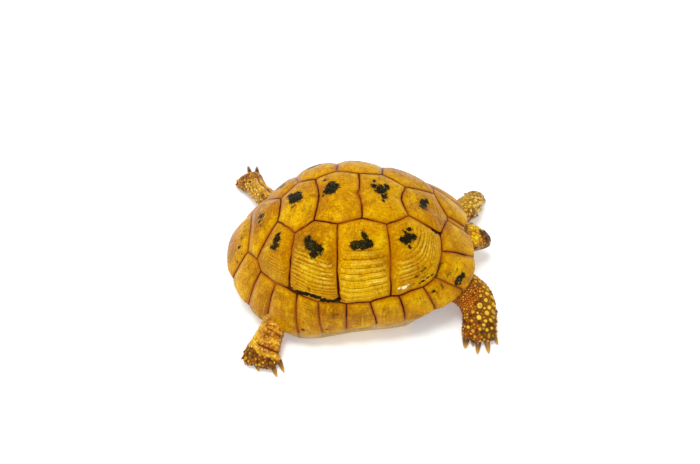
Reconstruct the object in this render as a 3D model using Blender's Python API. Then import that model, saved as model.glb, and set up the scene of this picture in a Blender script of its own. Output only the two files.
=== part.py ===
"""A spur-thighed tortoise at life size, lying on its plastron with its legs spread.

Units are metres in the file and millimetres in the sizes below. +Z is up, the head
faces -Y, and the animal's right side is -X. The origin is the middle of the flat
underside of the plastron, on the floor. The model is still: it has no joints.
"""
import math

import bmesh
import bpy
import numpy as np
from mathutils import Vector

MM = 0.001
GAP = 0.35                      # mm, the thin cut between two parts of the body

# ---- shell, mm and degrees -------------------------------------------------
SHELL_LENGTH = 180.0
SHELL_WIDTH = 140.7
SHELL_HEIGHT = 85.0
SHELL_CENTRE_Y = -2.4
RIM_POWER_FRONT, RIM_POWER_BACK = 2.53, 2.46       # superellipse of the rim in plan
RIM_WAVES = (-0.0037, 0.0109, 0.0044, -0.0053, -0.0232, -0.0004, -0.0041, -0.0057)
RIM_LEVEL = (26.2, 9.1, 6.1, -0.7, 3.3)             # height of the rim, cosine terms from the front
DOME_Q = (1.90, 2.50, 2.07)                         # dome profile at front, side and back
DOME_K = (0.99, 0.5275, 0.863)
NUCHAL_NOTCH = 2.4
NUCHAL_NOTCH_DEG = 4.5
EDGE_TURN = (6.0, 15.0)         # arc over which the rim turns under: at the openings, at the bridge
EDGE_HEADING = (-192.0, -128.0)
LIP = 10.5                      # arc length of the turned-under edge
WALL = 4.6                      # thickness of the carapace
BRIDGE = (60.0, 118.0, 9.0)     # the bridge lies between these angles, with this blend
SEAM_DEPTH = 0.7
PLASTRON_T = 7.0

# Seam corners of the right half of the carapace: degrees round the shell from the front,
# and the share of the way from the crown to the rim along the surface.
CORNER = {
    "n_in": (2.0, 0.797), "v1": (22.3, 0.670), "v12": (23.5, 0.419), "v2": (51.2, 0.333),
    "v23": (73.5, 0.228), "v3": (103.2, 0.246), "v34": (132.2, 0.269), "v4": (140.0, 0.395),
    "v45": (164.2, 0.467), "c4v5": (151.3, 0.698), "m12": (32.5, 0.707), "m23": (46.3, 0.792),
    "m34": (54.5, 0.800), "m45": (67.5, 0.790), "c12": (71.5, 0.775), "m56": (81.5, 0.793),
    "m67": (92.5, 0.780), "c23": (95.5, 0.765), "m78": (105.0, 0.750), "m89": (116.0, 0.703),
    "c34": (120.8, 0.690), "m910": (129.5, 0.705), "m1011": (143.2, 0.725), "m11s": (161.2, 0.757),
    "n_out": (2.3, 1.0), "o12": (18.8, 1.0), "o23": (37.5, 1.0), "o34": (52.5, 1.0), "o45": (66.3, 1.0),
    "o56": (79.0, 1.0), "o67": (92.5, 1.0), "o78": (103.0, 1.0), "o89": (113.3, 1.0),
    "o910": (129.3, 1.0), "o1011": (142.8, 1.0), "o11s": (160.3, 1.0),
}
# Each scute: its corners in order ("-" marks the left side), the place of its areola, and its swell.
VERTEBRALS = (
    (("n_in", "v1", "v12", "-v12", "-v1", "-n_in"), (0.0, 0.56), 1.5),
    (("v12", "v2", "v23", "-v23", "-v2", "-v12"), (0.0, 0.25), 1.2),
    (("v23", "v3", "v34", "-v34", "-v3", "-v23"), (180.0, 0.03), 1.2),
    (("v34", "v4", "v45", "-v45", "-v4", "-v34"), (180.0, 0.32), 1.3),
    (("v45", "c4v5", "m11s", "-m11s", "-c4v5", "-v45"), (180.0, 0.60), 2.0),
)
COSTALS = (
    (("v1", "m12", "m23", "m34", "m45", "c12", "v2", "v12"), (46.0, 0.53), 1.6),
    (("v2", "c12", "m56", "m67", "c23", "v3", "v23"), (81.0, 0.47), 1.5),
    (("v3", "c23", "m78", "m89", "c34", "v4", "v34"), (115.0, 0.45), 1.6),
    (("v4", "c34", "m910", "m1011", "c4v5", "v45"), (144.0, 0.53), 1.7),
)
MARGINALS = (
    (("n_in", "n_out", "o12", "m12", "v1"), (14.0, 0.86), 0.9),
    (("m12", "o12", "o23", "m23"), (34.0, 0.86), 1.0),
    (("m23", "o23", "o34", "m34"), (48.0, 0.90), 0.9),
    (("m34", "o34", "o45", "m45"), (60.0, 0.90), 0.8),
    (("m45", "o45", "o56", "m56", "c12"), (73.5, 0.90), 0.8),
    (("m56", "o56", "o67", "m67"), (86.5, 0.90), 0.8),
    (("m67", "o67", "o78", "m78", "c23"), (98.5, 0.89), 0.8),
    (("m78", "o78", "o89", "m89"), (109.5, 0.88), 0.9),
    (("m89", "o89", "o910", "m910", "c34"), (122.0, 0.87), 1.1),
    (("m910", "o910", "o1011", "m1011"), (136.5, 0.87), 1.2),
    (("m1011", "o1011", "o11s", "m11s", "c4v5"), (151.5, 0.88), 1.3),
)
NUCHAL = (("-n_in", "-n_out", "n_out", "n_in"), (0.0, 0.90), 0.3)
SUPRACAUDAL = (("m11s", "o11s", "-o11s", "-m11s"), (180.0, 0.90), 2.4)

# Plastron: how far its edge lies inside the rim, by degrees round the shell.
PLASTRON_INSET = ((0, 12.5), (14, 12.5), (28, 22), (42, 26), (58, 13), (66, 10), (112, 10), (120, 14),
                  (134, 25), (150, 23), (166, 19), (180, 27))

# ---- limbs and head: stations of centre x, y, z, half width, half thickness, mm --------------
FORELEG_RIGHT = ((-19, -56, 22, 12.5, 11.5), (-30, -75, 21, 13.6, 11), (-41, -91, 16.8, 14.2, 9.8), (-52.5, -94.8, 12, 13, 8.2),
                 (-61, -94, 9, 12.4, 7))
FOREFOOT_RIGHT = ((-65, -93.6, 7.0, 12.8, 6.8), (-68.2, -93.2, 5.6, 12.6, 6.2), (-70.2, -93.0, 4.8, 11.2, 5.4))
FORELEG_LEFT = ((20, -58, 22, 11.5, 11), (31, -80.5, 21.5, 11.2, 10.4), (40.5, -95.5, 18.8, 10.8, 9.8), (51.5, -104.4, 14.6, 9.9, 9.2),
                (60, -109.8, 11, 8.9, 8.2))
FOREFOOT_LEFT = ((65.8, -113.0, 8.2, 8.8, 7.4), (69.4, -114.8, 6.2, 8.6, 6.4), (71.6, -115.6, 5.2, 7.6, 5.4))
HINDLEG_RIGHT = ((-29, 41, 21, 12, 11), (-45, 48, 18.5, 10.4, 10.6), (-60, 53.2, 13.8, 9.6, 9.4), (-70.5, 57.9, 10, 11.2, 8.2))
HINDFOOT_RIGHT = ((-76, 60, 7.6, 12.8, 7.6), (-81.4, 61.9, 6.0, 13.4, 6.6), (-85.6, 63.2, 4.9, 12.0, 5.5))
HINDLEG_LEFT = ((30, 44, 21, 12, 11), (52, 60, 19, 10, 10), (70, 72, 15, 8.9, 9.2), (82, 78.6, 11.6, 9.2, 8.6))
HINDFOOT_LEFT = ((90, 83.2, 9.2, 10.4, 8.4), (96.8, 87.6, 7.2, 12.2, 7.6), (101.6, 91.6, 5.6, 11.4, 6.2))
TAIL = ((3, 50, 16, 9, 7), (0, 62, 14, 7.5, 6), (-6, 71, 11, 5.5, 4.6), (-13, 76, 8, 3.6, 3.2), (-19, 77, 6, 1.8, 1.6))
NECK = ((0, -52, 27, 14, 11), (3, -68, 27, 13, 10.6), (5.5, -82, 26.4, 12.4, 10.2), (7, -88, 26, 12.2, 10.0))

HEAD_BACK = (7.0, -87.0, 26.0)       # where the head leaves the neck
HEAD_TIP = (7.0, -114.0, 20.5)       # tip of the beak
# Along the head: share of its length, half width, height above and depth below the axis.
HEAD_FORM = ((0.0, 12.2, 9.0, 9.6), (0.12, 12.8, 9.6, 9.8), (0.28, 12.6, 9.9, 9.4), (0.44, 11.4, 9.9, 8.4), (0.58, 9.9, 9.4, 7.6),
             (0.72, 8.3, 8.2, 7.0), (0.84, 6.7, 6.4, 6.5), (0.93, 5.1, 4.4, 5.8), (0.98, 3.6, 2.8, 4.8), (1.0, 2.2, 1.4, 3.6))
EYE_RADIUS = 2.7
EYE_ALONG, EYE_UP, EYE_IN = 0.39, 3.2, 1.5

CLAW_SIDES = 7


# ---- shell surface ----------------------------------------------------------
def by_part(theta, front, side, back):
    c = np.cos(theta)
    return side + (front - side) * np.clip(c, 0, 1) ** 1.5 + (back - side) * np.clip(-c, 0, 1) ** 1.5


def rim(theta):
    """Plan x, y of the widest line of the shell, and its height."""
    s, c = np.abs(np.sin(theta)), -np.cos(theta)
    n = np.where(c < 0, RIM_POWER_FRONT, RIM_POWER_BACK)
    r = 1 / ((s ** n + np.abs(c) ** n) ** (1 / n))
    r = r * (1 + sum(g * np.cos((i + 1) * theta) for i, g in enumerate(RIM_WAVES)))
    away = np.degrees(np.minimum(np.abs(theta), 2 * math.pi - np.abs(theta)))
    notch = 1 - NUCHAL_NOTCH / 90 * np.exp(-((away / NUCHAL_NOTCH_DEG) ** 2))
    x = np.sin(theta) * SHELL_WIDTH / 2 * r * notch
    y = SHELL_CENTRE_Y + c * SHELL_LENGTH / 2 * r * notch
    return x, y, sum(z * np.cos(i * theta) for i, z in enumerate(RIM_LEVEL))


def dome_z(theta, share):
    _, _, zr = rim(theta)
    return zr + (SHELL_HEIGHT - zr) * np.clip(1 - share ** by_part(theta, *DOME_Q), 0, 1) ** by_part(theta, *DOME_K)


def blend_of_bridge(theta):
    deg = np.degrees(np.arccos(np.clip(np.cos(theta), -1, 1)))
    a = np.clip((deg - BRIDGE[0] + BRIDGE[2] / 2) / BRIDGE[2], 0, 1)
    b = np.clip((BRIDGE[1] + BRIDGE[2] / 2 - deg) / BRIDGE[2], 0, 1)
    w = np.minimum(a, b)
    return w * w * (3 - 2 * w)


TABLE_THETA = np.radians(np.arange(0, 181, 1.0))
SHARES = 1 - (1 - np.linspace(0, 1, 601)) ** 2.5
ARC = []
for _t in TABLE_THETA:
    _x, _y, _ = rim(_t)
    _rho = math.hypot(_x, _y - SHELL_CENTRE_Y)
    _z = dome_z(_t, SHARES)
    ARC.append(np.r_[0, np.cumsum(np.hypot(np.diff(SHARES) * _rho, np.diff(_z)))])
ARC_LENGTH = np.array([a[-1] for a in ARC])
SHARE_AT = np.array([np.interp(np.linspace(0, 1, 401), a / a[-1], SHARES) for a in ARC])


def shell(theta, r):
    """Points of the shell at these angles (radians) and shares r of the way to the rim, beyond 1 round its edge."""
    theta, r = np.broadcast_arrays(np.asarray(theta, float), np.asarray(r, float))
    wrapped = np.mod(theta, 2 * math.pi)
    half = np.minimum(wrapped, 2 * math.pi - wrapped)
    f = half / TABLE_THETA[1]
    i = np.clip(f.astype(int), 0, len(TABLE_THETA) - 2)
    f = f - i
    g = np.clip(r, 0, 1) * 400
    j = np.clip(g.astype(int), 0, 399)
    g = g - j
    share = ((1 - f) * ((1 - g) * SHARE_AT[i, j] + g * SHARE_AT[i, j + 1])
             + f * ((1 - g) * SHARE_AT[i + 1, j] + g * SHARE_AT[i + 1, j + 1]))
    arc = (1 - f) * ARC_LENGTH[i] + f * ARC_LENGTH[i + 1]
    x, y, zr = rim(half)
    rho = np.hypot(x, y - SHELL_CENTRE_Y)
    ux, uy = x / rho, (y - SHELL_CENTRE_Y) / rho
    out, up = rho * share, dome_z(half, share)
    # round the edge: the heading turns evenly from the slope of the dome to its last value
    start = np.arctan2(zr - dome_z(half, 0.97), rho * 0.03)
    b = blend_of_bridge(half)
    turn = EDGE_TURN[0] + (EDGE_TURN[1] - EDGE_TURN[0]) * b
    end = np.radians(EDGE_HEADING[0] + (EDGE_HEADING[1] - EDGE_HEADING[0]) * b)
    s = np.maximum(r - 1, 0) * arc
    k = (end - start) / turn
    in_turn = np.minimum(s, turn)
    now = start + k * in_turn
    out = out + (np.sin(now) - np.sin(start)) / k + np.cos(end) * (s - in_turn)
    up = up - (np.cos(now) - np.cos(start)) / k + np.sin(end) * (s - in_turn)
    side = np.where(wrapped <= math.pi, -1.0, 1.0)      # the right side is -X
    return np.stack([side * ux * out, SHELL_CENTRE_Y + uy * out, up], -1)


def shell_normal(theta, r):
    e = 0.004
    a = shell(theta, np.maximum(r, 0.01) + e) - shell(theta, np.maximum(r, 0.01) - e)
    b = shell(theta + e, np.maximum(r, 0.01)) - shell(theta - e, np.maximum(r, 0.01))
    n = np.cross(b, a)
    n /= np.linalg.norm(n, axis=-1, keepdims=True) + 1e-12
    return n


def lip_share(theta):
    half = np.minimum(np.mod(theta, 2 * math.pi), 2 * math.pi - np.mod(theta, 2 * math.pi))
    return 1 + LIP / np.interp(half, TABLE_THETA, ARC_LENGTH)


# ---- mesh helpers -----------------------------------------------------------
def clear():
    for obj in list(bpy.data.objects):
        bpy.data.objects.remove(obj, do_unlink=True)


def material(name, colour, roughness=0.5, metallic=0.0):
    mat = bpy.data.materials.new(name)
    mat.use_nodes = True
    shader = mat.node_tree.nodes["Principled BSDF"]
    shader.inputs["Base Color"].default_value = (*colour, 1)
    shader.inputs["Roughness"].default_value = roughness
    shader.inputs["Metallic"].default_value = metallic
    mat.diffuse_color = (*colour, 1)
    return mat


def make(name, points, faces, mat, smooth=55):
    """An object from points in mm, its normals turned outwards."""
    mesh = bpy.data.meshes.new(name)
    bm = bmesh.new()
    verts = [bm.verts.new(Vector(p) * MM) for p in points]
    for face in faces:
        ids = []
        for k in face:
            if k not in ids:
                ids.append(k)
        if len(ids) > 2:
            bm.faces.new([verts[k] for k in ids])
    bmesh.ops.triangulate(bm, faces=bm.faces[:])
    bmesh.ops.recalc_face_normals(bm, faces=bm.faces[:])
    bm.to_mesh(mesh)
    if bm.calc_volume(signed=True) < 0:
        mesh.flip_normals()
    bm.free()
    mesh.shade_smooth()
    mesh.set_sharp_from_angle(angle=math.radians(smooth))
    mesh.materials.append(mat)
    obj = bpy.data.objects.new(name, mesh)
    bpy.context.scene.collection.objects.link(obj)
    return obj


def grown(obj, by=GAP):
    """A cutter: the same body with every point moved out along its normal."""
    mesh = obj.data.copy()
    normals = [v.normal.copy() for v in mesh.vertices]
    for v, n in zip(mesh.vertices, normals):
        v.co += n * by * MM
    cutter = bpy.data.objects.new("cut_" + obj.name, mesh)
    cutter.hide_render = True
    cutter.display_type = "WIRE"
    bpy.context.scene.collection.objects.link(cutter)
    return cutter


def subtract(obj, *cutters):
    for k, cutter in enumerate(cutters):
        mod = obj.modifiers.new(f"cut{k}", "BOOLEAN")
        mod.operation = "DIFFERENCE"
        mod.object = cutter


def curve_through(values, count):
    """Evenly spaced rows of a Catmull-Rom curve through the rows of values."""
    v = np.asarray(values, float)
    p = np.vstack([2 * v[0] - v[1], v, 2 * v[-1] - v[-2]])
    rows = []
    for t in np.linspace(0, len(v) - 1, count):
        i = min(int(t), len(v) - 2)
        f = t - i
        a, b, c, d = p[i], p[i + 1], p[i + 2], p[i + 3]
        rows.append(0.5 * (2 * b + (c - a) * f + (2 * a - 5 * b + 4 * c - d) * f ** 2 + (3 * b - a - 3 * c + d) * f ** 3))
    return np.array(rows)


def limb(names, stations, mat, rings=9, split=None, sides=16, power=2.3, floors=(0.0, 0.0), round_end=True):
    """A lofted limb: level superelliptic sections along a smooth path. With two names it is parted by a thin cut at ring split."""
    rows = curve_through(stations, rings)
    centre = rows[:, :3]
    along = np.gradient(centre, axis=0)
    along /= np.linalg.norm(along, axis=1, keepdims=True)
    ang = np.linspace(0, 2 * math.pi, sides, endpoint=False)
    c, s = np.cos(ang), np.sin(ang)
    cx, sx = np.sign(c) * np.abs(c) ** (2 / power), np.sign(s) * np.abs(s) ** (2 / power)
    spans = [(0, rings - 1)] if split is None else [(0, split), (split, rings - 1)]
    made = []
    for piece, (first, last) in enumerate(spans):
        points, faces, loops = [], [], []
        cuts = [(k, 1.0, GAP if piece and k == first else 0.0) for k in range(first, last + 1)]
        if round_end and last == rings - 1:
            cuts += [(last, 0.80, 1.5), (last, 0.45, 2.4)]
        for k, scale, move in cuts:
            t = along[k]
            up = np.array([0, 0, 1.0]) - t * t[2]
            up /= np.linalg.norm(up)
            side = np.cross(t, up)
            ring = []
            for a, b in zip(cx, sx):
                p = centre[k] + t * move + side * a * rows[k, 3] * scale + up * b * rows[k, 4] * scale
                p[2] = max(p[2], floors[piece])
                ring.append(len(points))
                points.append(p)
            loops.append(ring)
        for a, b in zip(loops, loops[1:]):
            for k in range(sides):
                faces.append((a[k], a[(k + 1) % sides], b[(k + 1) % sides], b[k]))
        for ring in (loops[0], loops[-1]):
            middle = len(points)
            points.append(np.mean([points[k] for k in ring], axis=0))
            for k in range(sides):
                faces.append((ring[k], ring[(k + 1) % sides], middle))
        made.append(make(names[piece], points, faces, mat))
    return made


def revolve_rings(name, rings, top, bottom, mat):
    """A closed body from stacked rings with the same number of points, between two middle points."""
    points, faces, loops = [], [], []
    for ring in rings:
        loops.append(list(range(len(points), len(points) + len(ring))))
        points += list(ring)
    n = len(loops[0])
    for a, b in zip(loops, loops[1:]):
        for k in range(n):
            faces.append((a[k], a[(k + 1) % n], b[(k + 1) % n], b[k]))
    for ring, middle in ((loops[0], top), (loops[-1], bottom)):
        points.append(np.asarray(middle, float))
        for k in range(n):
            faces.append((ring[k], ring[(k + 1) % n], len(points) - 1))
    return make(name, points, faces, mat)


def flat(deg, r):
    """Shell place to a plane map, where seams run straight."""
    t = math.radians(deg)
    return np.array([-r * math.sin(t), -r * math.cos(t)])


def unflat(p):
    theta = np.mod(np.arctan2(-p[..., 0], -p[..., 1]), 2 * math.pi)
    return theta, np.hypot(p[..., 0], p[..., 1])


def corner_place(name):
    deg, r = CORNER[name.lstrip("-")]
    return flat(-deg if name.startswith("-") else deg, r)


# ---- carapace ---------------------------------------------------------------
def all_scutes():
    for k, (names, areola, swell) in enumerate(VERTEBRALS):
        yield names, flat(*areola), swell
    for group in (COSTALS, MARGINALS):
        for names, areola, swell in group:
            yield names, flat(*areola), swell
            left = tuple(n[1:] if n.startswith("-") else "-" + n for n in reversed(names))
            yield left, flat(-areola[0], areola[1]), swell
    for names, areola, swell in (NUCHAL, SUPRACAUDAL):
        yield names, flat(*areola), swell


def build_carapace(mat):
    points, faces, index = [], [], {}

    def vertex(place, lift, key=None):
        if key is not None and key in index:
            return index[key]
        theta, r = unflat(np.asarray(place))
        p = shell(theta, r) + shell_normal(theta, r) * lift
        points.append(p)
        if key is not None:
            index[key] = len(points) - 1
        return len(points) - 1

    rim_keys = {}
    for names, areola, swell in all_scutes():
        border, border_keys = [], []
        for a, b in zip(names, names[1:] + names[:1]):
            pa, pb = corner_place(a), corner_place(b)
            on_rim = "o" in a.lstrip("-")[:3] and "o" in b.lstrip("-")[:3] and a.lstrip("-")[0] in "on" and b.lstrip("-")[0] in "on" \
                and CORNER[a.lstrip("-")][1] == 1.0 and CORNER[b.lstrip("-")][1] == 1.0
            long_side = np.linalg.norm(pa - pb)
            steps = 1 if long_side < 0.07 else (2 if long_side < 0.20 else 3)
            if on_rim:
                steps = 1 if long_side < 0.07 else 3
            for k in range(steps):
                f = k / steps
                if on_rim:
                    ta, tb = unflat(pa)[0], unflat(pb)[0]
                    if abs(ta - tb) > math.pi:
                        ta, tb = (ta - 2 * math.pi if ta > math.pi else ta), (tb - 2 * math.pi if tb > math.pi else tb)
                    t = ta + (tb - ta) * f
                    place = np.array([-math.sin(t), -math.cos(t)])
                else:
                    place = pa + (pb - pa) * f
                if k == 0:
                    key = a
                else:
                    key = (min(a, b), max(a, b), k if a < b else steps - k)
                border.append(place)
                border_keys.append(key)
                if on_rim or (k == 0 and CORNER[a.lstrip("-")][1] == 1.0):
                    rim_keys[key] = place
        ring_out = [vertex(p, -SEAM_DEPTH, k) for p, k in zip(border, border_keys)]
        edge = []
        for p, k in zip(border, border_keys):
            at_rim = k in rim_keys
            d = areola - p
            step = min(0.28, 0.022 / max(np.linalg.norm(d), 1e-6))
            edge.append(vertex(p + d * (step if not at_rim else step * 1.2), 0.05 if not at_rim else 0.1))
        mid = [vertex(p + (areola - p) * 0.55, swell * 0.72) for p in border]
        middle = vertex(areola, swell)
        n = len(border)
        for k in range(n):
            j = (k + 1) % n
            faces.append((ring_out[k], ring_out[j], edge[j], edge[k]))
            faces.append((edge[k], edge[j], mid[j], mid[k]))
            faces.append((mid[k], mid[j], middle))
    # the rim turns under, then the inner face follows the dome at the thickness of the wall
    ordered = sorted(rim_keys.items(), key=lambda kv: unflat(kv[1])[0])
    thetas = np.array([unflat(p)[0] for _, p in ordered])
    loops = [[index[k] for k, _ in ordered]]
    for share in (1 + 0.45 * (lip_share(thetas) - 1), lip_share(thetas)):
        loops.append(list(range(len(points), len(points) + len(thetas))))
        points.extend(shell(thetas, share))
    for share, wall in ((0.93, WALL), (0.78, WALL), (0.52, WALL + 0.8), (0.24, WALL + 1.0)):
        loops.append(list(range(len(points), len(points) + len(thetas))))
        r = np.full(len(thetas), share)
        points.extend(shell(thetas, r) - shell_normal(thetas, r) * wall)
    n = len(thetas)
    for a, b in zip(loops, loops[1:]):
        for k in range(n):
            faces.append((a[k], b[k], b[(k + 1) % n], a[(k + 1) % n]))
    points.append(np.array([0, SHELL_CENTRE_Y, SHELL_HEIGHT - WALL - 1.0]))
    for k in range(n):
        faces.append((loops[-1][k], loops[-1][(k + 1) % n], len(points) - 1))
    return make("carapace", points, faces, mat, smooth=40), thetas


# ---- plastron with its bridges, and the trunk inside -------------------------
def inset_at(theta):
    deg = np.degrees(np.arccos(np.clip(np.cos(theta), -1, 1)))
    a, b = zip(*PLASTRON_INSET)
    return sum(np.interp(deg + d, a, b) for d in (-4, -2, 0, 2, 4)) / 5


def radial(theta, rho, z):
    x, y, _ = rim(np.minimum(np.mod(theta, 2 * math.pi), 2 * math.pi - np.mod(theta, 2 * math.pi)))
    d = np.hypot(x, y - SHELL_CENTRE_Y)
    side = np.where(np.mod(theta, 2 * math.pi) <= math.pi, -1.0, 1.0)
    return np.stack([side * x / d * rho, SHELL_CENTRE_Y + (y - SHELL_CENTRE_Y) / d * rho, np.broadcast_to(z, rho.shape)], -1)


def place_of(points):
    return np.hypot(points[:, 0], points[:, 1] - SHELL_CENTRE_Y), points[:, 2]


def build_plastron(mat, count=60):
    theta = np.linspace(0, 2 * math.pi, count, endpoint=False)
    b = blend_of_bridge(theta)
    rho_rim, _ = place_of(shell(theta, np.ones(count)))
    edge = rho_rim - inset_at(theta)
    lip_rho, lip_z = place_of(shell(theta, lip_share(theta)))
    mix = lambda opening, bridge: opening + (bridge - opening) * b
    rings = [
        radial(theta, edge - 9.5, np.full(count, PLASTRON_T)),
        radial(theta, mix(edge - 3.0, lip_rho - 5.5), mix(PLASTRON_T, lip_z - 1.5)),
        radial(theta, mix(edge - 0.8, lip_rho - 3.0), mix(PLASTRON_T - 0.8, lip_z - 0.8)),
        radial(theta, mix(edge, lip_rho - 0.25), mix(PLASTRON_T - 3.0, lip_z - 0.75)),
        radial(theta, mix(edge - 0.4, lip_rho - 3.2), mix(PLASTRON_T - 4.6, lip_z * 0.5)),
        radial(theta, edge - 2.2, np.full(count, 0.9)),
        radial(theta, edge - 5.0, np.zeros(count)),
    ]
    return revolve_rings("plastron", rings, (0, SHELL_CENTRE_Y, PLASTRON_T), (0, 0, 0), mat)


def build_trunk(mat, count=48):
    theta = np.linspace(0, 2 * math.pi, count, endpoint=False)
    b = blend_of_bridge(theta)
    rho_rim, rim_z = place_of(shell(theta, np.ones(count)))
    edge = rho_rim - inset_at(theta)
    lip_rho, lip_z = place_of(shell(theta, lip_share(theta)))

    def inner(share, extra):
        r = np.full(count, share)
        return place_of(shell(theta, r) - shell_normal(theta, r) * (WALL + extra))

    r93, z93 = inner(0.92, 1.3)
    r78, z78 = inner(0.77, 1.3)
    r52, z52 = inner(0.52, 2.1)
    r24, z24 = inner(0.24, 2.3)
    mix = lambda opening, bridge: opening + (bridge - opening) * b
    rings = [
        radial(theta, r24, z24), radial(theta, r52, z52), radial(theta, r78, z78),
        radial(theta, mix(r93 - 1.0, r93 - 0.3), mix(z93 - 0.5, z93)),
        radial(theta, mix(rho_rim - 21.0, lip_rho - 6.3), mix(rim_z - 2.0, lip_z - 0.5)),
        radial(theta, mix(rho_rim - 27.0, edge - 10.2), mix(rim_z * 0.55 + 2, PLASTRON_T + 1.4)),
        radial(theta, mix(edge - 11.0, edge - 10.6), np.full(count, PLASTRON_T + GAP)),
    ]
    return revolve_rings("trunk", rings, (0, SHELL_CENTRE_Y, SHELL_HEIGHT - WALL - 3.2), (0, SHELL_CENTRE_Y, PLASTRON_T + GAP), mat)


# ---- head ---------------------------------------------------------------------
def head_frame():
    back, tip = np.array(HEAD_BACK), np.array(HEAD_TIP)
    t = (tip - back) / np.linalg.norm(tip - back)
    up = np.array([0, 0, 1.0]) - t * t[2]
    up /= np.linalg.norm(up)
    return back, tip, t, up, np.cross(t, up)


def build_head(mat, rings=12, sides=18):
    back, tip, t, up, side = head_frame()
    rows = curve_through(HEAD_FORM, rings)
    points, faces, loops = [], [], []
    for k, (s, w, above, below) in enumerate(rows):
        ring = []
        for a in np.linspace(0, 2 * math.pi, sides, endpoint=False):
            c, d = math.cos(a), math.sin(a)
            p = 2.35
            x = math.copysign(abs(c) ** (2 / p), c) * w
            y = math.copysign(abs(d) ** (2 / p), d) * (above if d > 0 else below)
            ring.append(len(points))
            points.append(back + (tip - back) * s + t * (GAP if k == 0 else 0) + side * x + up * y)
        loops.append(ring)
    for a, b in zip(loops, loops[1:]):
        for k in range(sides):
            faces.append((a[k], a[(k + 1) % sides], b[(k + 1) % sides], b[k]))
    for ring in (loops[0], loops[-1]):
        points.append(np.mean([points[k] for k in ring], axis=0))
        for k in range(sides):
            faces.append((ring[k], ring[(k + 1) % sides], len(points) - 1))
    return make("head", points, faces, mat)


def ball(name, centre, radius, mat, sides=12, rings=7):
    points, faces, loops = [], [], []
    for i in range(1, rings):
        lat = math.pi * i / rings
        loops.append([])
        for j in range(sides):
            a = 2 * math.pi * j / sides
            loops[-1].append(len(points))
            points.append(np.array(centre) + radius * np.array([math.sin(lat) * math.cos(a), math.sin(lat) * math.sin(a), math.cos(lat)]))
    for a, b in zip(loops, loops[1:]):
        for k in range(sides):
            faces.append((a[k], a[(k + 1) % sides], b[(k + 1) % sides], b[k]))
    for ring, dz in ((loops[0], radius), (loops[-1], -radius)):
        points.append(np.array(centre) + np.array([0, 0, dz]))
        for k in range(sides):
            faces.append((ring[k], ring[(k + 1) % sides], len(points) - 1))
    return make(name, points, faces, mat)


def claw(name, root, tip, radius, mat, arch=1.2):
    """A claw: a tapering cone from root to tip, bowed upwards in the middle."""
    root, tip = np.array(root, float), np.array(tip, float)
    t = (tip - root) / np.linalg.norm(tip - root)
    side = np.cross(t, (0, 0, 1.0))
    side /= np.linalg.norm(side)
    up = np.cross(side, t)
    points, faces, loops = [], [], []
    for f, w in ((0, 1.0), (0.4, 0.92), (0.75, 0.62), (0.94, 0.30)):
        loops.append([])
        c = root + (tip - root) * f + up * arch * 4 * f * (1 - f) * 0.6
        for j in range(CLAW_SIDES):
            a = 2 * math.pi * (j + 0.5) / CLAW_SIDES
            loops[-1].append(len(points))
            q = c + side * math.cos(a) * radius * w + up * math.sin(a) * radius * 0.8 * w
            q[2] = max(q[2], 0.05)
            points.append(q)
    for a, b in zip(loops, loops[1:]):
        for k in range(CLAW_SIDES):
            faces.append((a[k], a[(k + 1) % CLAW_SIDES], b[(k + 1) % CLAW_SIDES], b[k]))
    for ring, end in ((loops[0], root), (loops[-1], tip)):
        points.append(end)
        for k in range(CLAW_SIDES):
            faces.append((ring[k], ring[(k + 1) % CLAW_SIDES], len(points) - 1))
    return make(name, points, faces, mat)


# Claws: root and tip, mm, and the radius at the root.
CLAWS = {
    "forefoot_right": (((-68.0, -84.0, 4.6), (-75.8, -82.4, 0.9), 2.6), ((-69.0, -89.0, 4.2), (-74.4, -88.2, 1.0), 1.7),
                       ((-70.0, -92.4, 4.4), (-80.6, -90.4, 0.8), 2.3), ((-69.6, -98.0, 4.4), (-80.4, -98.6, 0.8), 2.3),
                       ((-66.0, -103.0, 4.4), (-73.6, -106.4, 0.9), 2.0)),
    "forefoot_left": (((66.2, -121.4, 4.4), (70.8, -124.0, 0.9), 1.75), ((69.1, -118.6, 4.4), (75.6, -122.0, 0.8), 1.75),
                      ((71.4, -115.4, 4.4), (79.4, -118.0, 0.8), 1.75), ((72.5, -111.8, 4.4), (81.2, -113.0, 0.8), 1.75),
                      ((73.0, -107.8, 4.4), (80.2, -107.6, 0.9), 1.75)),
    "hindfoot_right": (((-79.0, 71.4, 4.2), (-84.2, 73.4, 1.0), 1.7), ((-82.0, 66.4, 4.8), (-89.1, 63.3, 0.8), 2.1),
                       ((-83.0, 55.4, 4.8), (-93.6, 50.5, 0.8), 2.3), ((-79.6, 51.0, 5.0), (-90.5, 45.7, 0.8), 2.0)),
    "hindfoot_left": (((95.0, 98.6, 4.4), (99.8, 102.4, 1.0), 1.8), ((100.8, 96.2, 4.6), (107.4, 99.6, 1.0), 1.9),
                      ((107.2, 88.6, 5.0), (126.0, 94.0, 1.2), 2.2), ((107.6, 82.6, 5.0), (124.6, 85.0, 1.2), 2.2)),
}


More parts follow.
